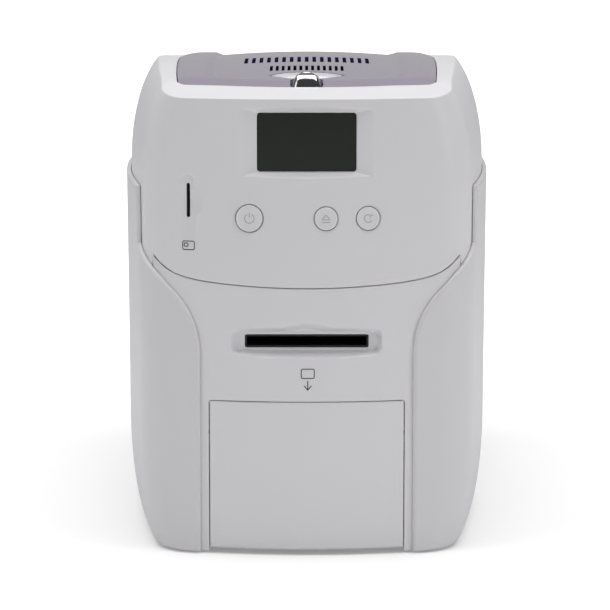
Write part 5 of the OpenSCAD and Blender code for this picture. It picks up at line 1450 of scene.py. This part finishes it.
@dataclass
class FrontKey:
    """Round key in the front: a cap with a rounded rim and a faint dish."""

    name: str
    x: float
    radius: float

    @property
    def face(self) -> float:
        """Place of the cap's middle."""
        return float(FORM.bow(np.array(self.x), FORM.skin)) - 0.6

    def build(self) -> bpy.types.Object:
        """Makes the cap with its flange and stem as one turned solid."""
        r, edge = self.radius, 0.7
        bend = np.linspace(0, math.pi / 2, 8)
        dish = np.linspace(0, r - edge, 10)
        front = np.stack([dish, 0.12 * (1 - (dish / (r - edge)) ** 2)], -1)
        rim = np.stack([r - edge + edge * np.sin(bend), edge * (1 - np.cos(bend))], -1)[1:]
        beside = float(FORM.bow(np.array(abs(self.x) + r + 2), FORM.skin))
        behind = beside + FORM.wall + 0.5 - self.face
        back = [[r, behind - 0.2], [r + 1.2, behind - 0.2], [r + 1.2, behind + 1], [0, behind + 1]]
        profile = np.concatenate([front, rim, back])
        return turned_solid(self.name, profile, np.array([self.x, self.face, KEY_Z]), "y")


# ---- Signs ----------------------------------------------------------------------------


@dataclass
class SignMaker:
    """Line signs on the front, drawn as strokes in (across, up) millimetres: a stroke's
    section is a flat ellipse sunk into its carrier by about half."""

    half_width: float = 0.24
    flat: float = 0.3
    on_cap: float = 0.53
    printed: float = 0.02

    def stroke(self, name: str, line: Array, at: tuple[float, float], lift: float,
               closed: bool, on_key: bool) -> bpy.types.Object:
        """Makes one stroke: the line is resampled, put at its place and laid on the bow, or on
        the flat face of a key where it is a key's sign."""
        if closed:
            line = np.concatenate([line, line[:1]])
        step = np.hypot(*np.diff(line, axis=0).T)
        walked = np.concatenate([[0], np.cumsum(step)])
        count = max(6, int(walked[-1] / 0.35))
        even = np.linspace(0, walked[-1], count)
        across = np.interp(even, walked, line[:, 0]) + at[0]
        up = np.interp(even, walked, line[:, 1]) + at[1]
        y = FORM.bow(np.full(count, at[0]) if on_key else across, FORM.skin) - lift
        tilt = 0 * across if on_key else across / (FORM.front_r - FORM.skin)
        normal = np.stack([tilt, -np.sqrt(1 - tilt**2), 0 * tilt], -1)
        return tube(name, np.stack([across, y, up], -1), self.half_width, self.flat, normal, 10)

    def circle(self, radius: float, start: float = 0.0, end: float = 360.0) -> Array:
        """Points of an arc about the middle, angles in degrees from the right."""
        a = np.radians(np.linspace(start, end, 40))
        return radius * np.stack([np.cos(a), np.sin(a)], -1)

    def card(self, width: float, height: float) -> Array:
        """Outline of a card with rounded corners."""
        r = 0.16 * min(width, height)
        a = np.radians(np.linspace(0, 90, 6))
        corner = np.stack([np.cos(a), np.sin(a)], -1) * r
        ends = []
        for k, (sx, sy) in enumerate(((1, 1), (-1, 1), (-1, -1), (1, -1))):
            turn = np.radians(90 * k)
            spin = np.array([[math.cos(turn), math.sin(turn)], [-math.sin(turn), math.cos(turn)]])
            ends.append(corner @ spin + np.array([sx * (width / 2 - r), sy * (height / 2 - r)]))
        return np.concatenate(ends)

    def build(self) -> list[tuple[bpy.types.Object, str]]:
        """Makes every sign, with the body each rides on."""
        power, eject, ribbon = ((x, KEY_Z) for x, _ in KEY_PLACES.values())
        made = []

        def add(name: str, body: str, line: Sequence, at: tuple[float, float],
                closed: bool = False) -> None:
            """Adds one stroke: a key's sign lies on its cap, any other on the housing."""
            on_key = body != "housing"
            lift = self.on_cap if on_key else self.printed
            stroke = self.stroke(name, np.array(line, float), at, lift, closed, on_key)
            made.append((stroke, body))

        add("sign_power_ring", "power", self.circle(2.3, 120, 420), power)
        add("sign_power_bar", "power", ((0, 0.5), (0, 2.9)), power)
        add("sign_eject_wedge", "eject", ((-2.0, -0.4), (2.0, -0.4), (0, 2.0)), eject, True)
        add("sign_eject_bar", "eject", ((-2.0, -1.7), (2.0, -1.7)), eject)
        add("sign_ribbon_arc", "ribbon_set", self.circle(1.9, 60, 330), ribbon)
        add("sign_ribbon_tip", "ribbon_set", ((2.6, 1.5), (0.95, 1.65), (1.1, 0.1)), ribbon)
        add("sign_chip_card", "housing", self.card(5.8, 4.2), (-58.0, 154.0), True)
        add("sign_chip_pad", "housing", self.card(1.9, 1.6), (-59.2, 154.3), True)
        add("sign_exit_card", "housing", self.card(6.4, 4.6), (0.5, 91.4), True)
        add("sign_exit_shaft", "housing", ((0, 4.3), (0, 0)), (0.5, 83.6))
        add("sign_exit_tip", "housing", ((-1.8, 2.2), (0, 0), (1.8, 2.2)), (0.5, 83.2))
        return made


# ---- Studio ----------------------------------------------------------------------------


@dataclass
class Lamp:
    """Soft rectangular lamp aimed at a point, sizes in metres."""

    name: str
    place: tuple[float, float, float]
    size: tuple[float, float]
    power: float
    aim: tuple[float, float, float] = (0.0, 0.0, 0.12)

    def build(self) -> None:
        """Makes the lamp."""
        light = bpy.data.lights.new(self.name, "AREA")
        light.shape = "RECTANGLE"
        light.size, light.size_y = self.size
        light.energy = self.power
        made = bpy.data.objects.new(self.name, light)
        made.location = self.place
        way = Vector(self.aim) - Vector(self.place)
        made.rotation_euler = way.to_track_quat("-Z", "Y").to_euler()
        bpy.context.scene.collection.objects.link(made)


@dataclass
class Studio:
    """White studio: floor, soft lamps, even surroundings and the camera."""

    zenith: float = 0.46
    horizon: float = 0.10
    backdrop: float = 0.34
    dark_front: float = 0.05
    lens: float = 173.3
    shift: tuple[float, float] = (-0.0028, -0.058)
    place: tuple[float, float, float] = (0.0, -1.584, 0.3427)
    look_down: float = 8.0
    floor_half: float = 6.0
    glow: tuple[tuple[str, float], ...] = (
        ("From Min", 0.2), ("From Max", 0.7), ("To Min", 0.25), ("To Max", 1.0))
    lamps: tuple[Lamp, ...] = (
        Lamp("top lamp", (0.0, -0.05, 1.9), (2.2, 1.3), 26.0),
        Lamp("right lamp", (1.6, -1.1, 0.6), (0.8, 1.2), 4.2),
        Lamp("left lamp", (-1.5, -0.9, 1.4), (0.7, 1.2), 3.2),
    )

    def floor(self) -> None:
        """Makes the pale floor: matt, with its shadow kept, and plain white far off."""
        size = self.floor_half
        mesh = bpy.data.meshes.new("studio_floor")
        mesh.from_pydata([(-size, -size, 0), (size, -size, 0), (size, size, 0), (-size, size, 0)],
                         [], [(0, 1, 2, 3)])
        floor = bpy.data.objects.new("studio_floor", mesh)
        bpy.context.scene.collection.objects.link(floor)
        made = bpy.data.materials.new("studio floor")
        made.use_nodes = True
        kit = Nodes(made.node_tree)
        shader = kit.add("ShaderNodeBsdfPrincipled", Roughness=0.6)
        shader.inputs["Base Color"].default_value = (0.93, 0.93, 0.93, 1.0)
        shader.inputs["Emission Color"].default_value = (1.0, 1.0, 1.0, 1.0)
        reach = kit.add("ShaderNodeVectorMath", operation="LENGTH")
        kit.feed(reach.inputs[0], kit.add("ShaderNodeTexCoord").outputs["Object"])
        far = kit.add("ShaderNodeMapRange", interpolation_type="SMOOTHSTEP")
        for label, value in self.glow:
            far.inputs[label].default_value = value
        kit.feed(far.inputs["Value"], reach.outputs["Value"])
        direct = kit.add("ShaderNodeLightPath").outputs["Is Camera Ray"]
        glow = kit.math("MULTIPLY", direct, far.outputs["Result"])
        kit.feed(shader.inputs["Emission Strength"], glow)
        kit.feed(kit.add("ShaderNodeOutputMaterial").inputs["Surface"], shader.outputs[0])
        mesh.materials.append(made)

    def world(self) -> None:
        """Sets surroundings that brighten upwards, plain white to the camera. Reflections see
        a dark room with a pale backdrop."""
        world = bpy.data.worlds.new("studio")
        world.use_nodes = True
        bpy.context.scene.world = world
        kit = Nodes(world.node_tree)
        split = kit.add("ShaderNodeSeparateXYZ")
        kit.feed(split.inputs[0], kit.add("ShaderNodeTexCoord").outputs["Generated"])
        rise = kit.math("MULTIPLY", split.outputs["Z"], 1.3, clamp=True)
        around = kit.number_mix(rise, self.horizon, self.zenith)
        behind = kit.math("MULTIPLY", split.outputs["Y"], self.backdrop, clamp=True)
        mirrored = kit.math("ADD", self.dark_front, behind)
        path = kit.add("ShaderNodeLightPath")
        level = kit.math("MAXIMUM", path.outputs["Is Camera Ray"],
                         kit.number_mix(path.outputs["Is Glossy Ray"], around, mirrored))
        sky = kit.add("ShaderNodeBackground", Color=(1.0, 1.0, 1.0, 1.0))
        kit.feed(sky.inputs["Strength"], level)
        kit.feed(kit.add("ShaderNodeOutputWorld").inputs["Surface"], sky.outputs[0])

    def camera(self) -> None:
        """Places the camera at the photo's angle."""
        data = bpy.data.cameras.new("camera")
        data.lens = self.lens
        data.shift_x, data.shift_y = self.shift
        data.clip_end = 20.0
        made = bpy.data.objects.new("camera", data)
        made.location = self.place
        made.rotation_euler = (math.radians(90 - self.look_down), 0.0, 0.0)
        bpy.context.scene.collection.objects.link(made)
        bpy.context.scene.camera = made

    def build(self) -> None:
        """Makes everything and sets the plain view."""
        self.floor()
        self.world()
        self.camera()
        for lamp in self.lamps:
            lamp.build()
        bpy.context.scene.view_settings.view_transform = "Standard"


# ---- Assembly --------------------------------------------------------------------------


def dress_nodes() -> None:
    """Puts a finish on every construction mesh that stays in view."""
    for name, finish in NODE_FINISH.items():
        finish.put_on(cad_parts[name])
    LOG.info("finishes on %d construction meshes", len(NODE_FINISH))


def dress_housing() -> None:
    """Builds the fixed mouldings."""
    settle(UpperHousing().build(), "housing", WHITE, "upper_housing")
    settle(LowerPanel().build(), "housing", WHITE, "lower_front_panel")
    settle(SideCover(1).build(), "housing", COVER, "right_side_cover")
    settle(SideCover(-1).build(), "housing", COVER, "left_side_cover")
    settle(RearPanel().build(), "housing", REAR, "rear_panel")
    settle(GripDish().build(), "housing", INSERT)


def dress_moving() -> None:
    """Builds the lid, the button, the keys and the door."""
    lid = TopLid()
    plate, skirt = lid.build()
    settle(plate, "lid", LID, "top_lid")
    # Painted shade on the walls of the lid's vent slots.
    lid.paint_slot_shade(plate)
    settle(skirt, "lid", LID, "top_lid")
    settle(ReleaseButton().build(), "release", CHROME, "release_button")
    for node, body in (("power_key", "power"), ("eject_key", "eject"), ("ribbon_key", "ribbon_set")):
        settle(FrontKey(node + "_cap", *KEY_PLACES[body]).build(), body, KEY, node)
    for piece in BinDoor().build():
        settle(piece, "door", WHITE, "bin_door")


def main() -> None:
    """Builds everything in order."""
    logging.basicConfig(level=logging.INFO, format="%(message)s")
    dress_nodes()
    dress_housing()
    dress_moving()
    for piece, body in SignMaker().build():
        # Housing signs are printed ink; key signs take a grey painted shade for their moulded
        # relief.
        settle(piece, body, INK if body == "housing" else KEY_SIGN_SHADE)
    Studio().build()


if __name__ == "__main__":
    main()
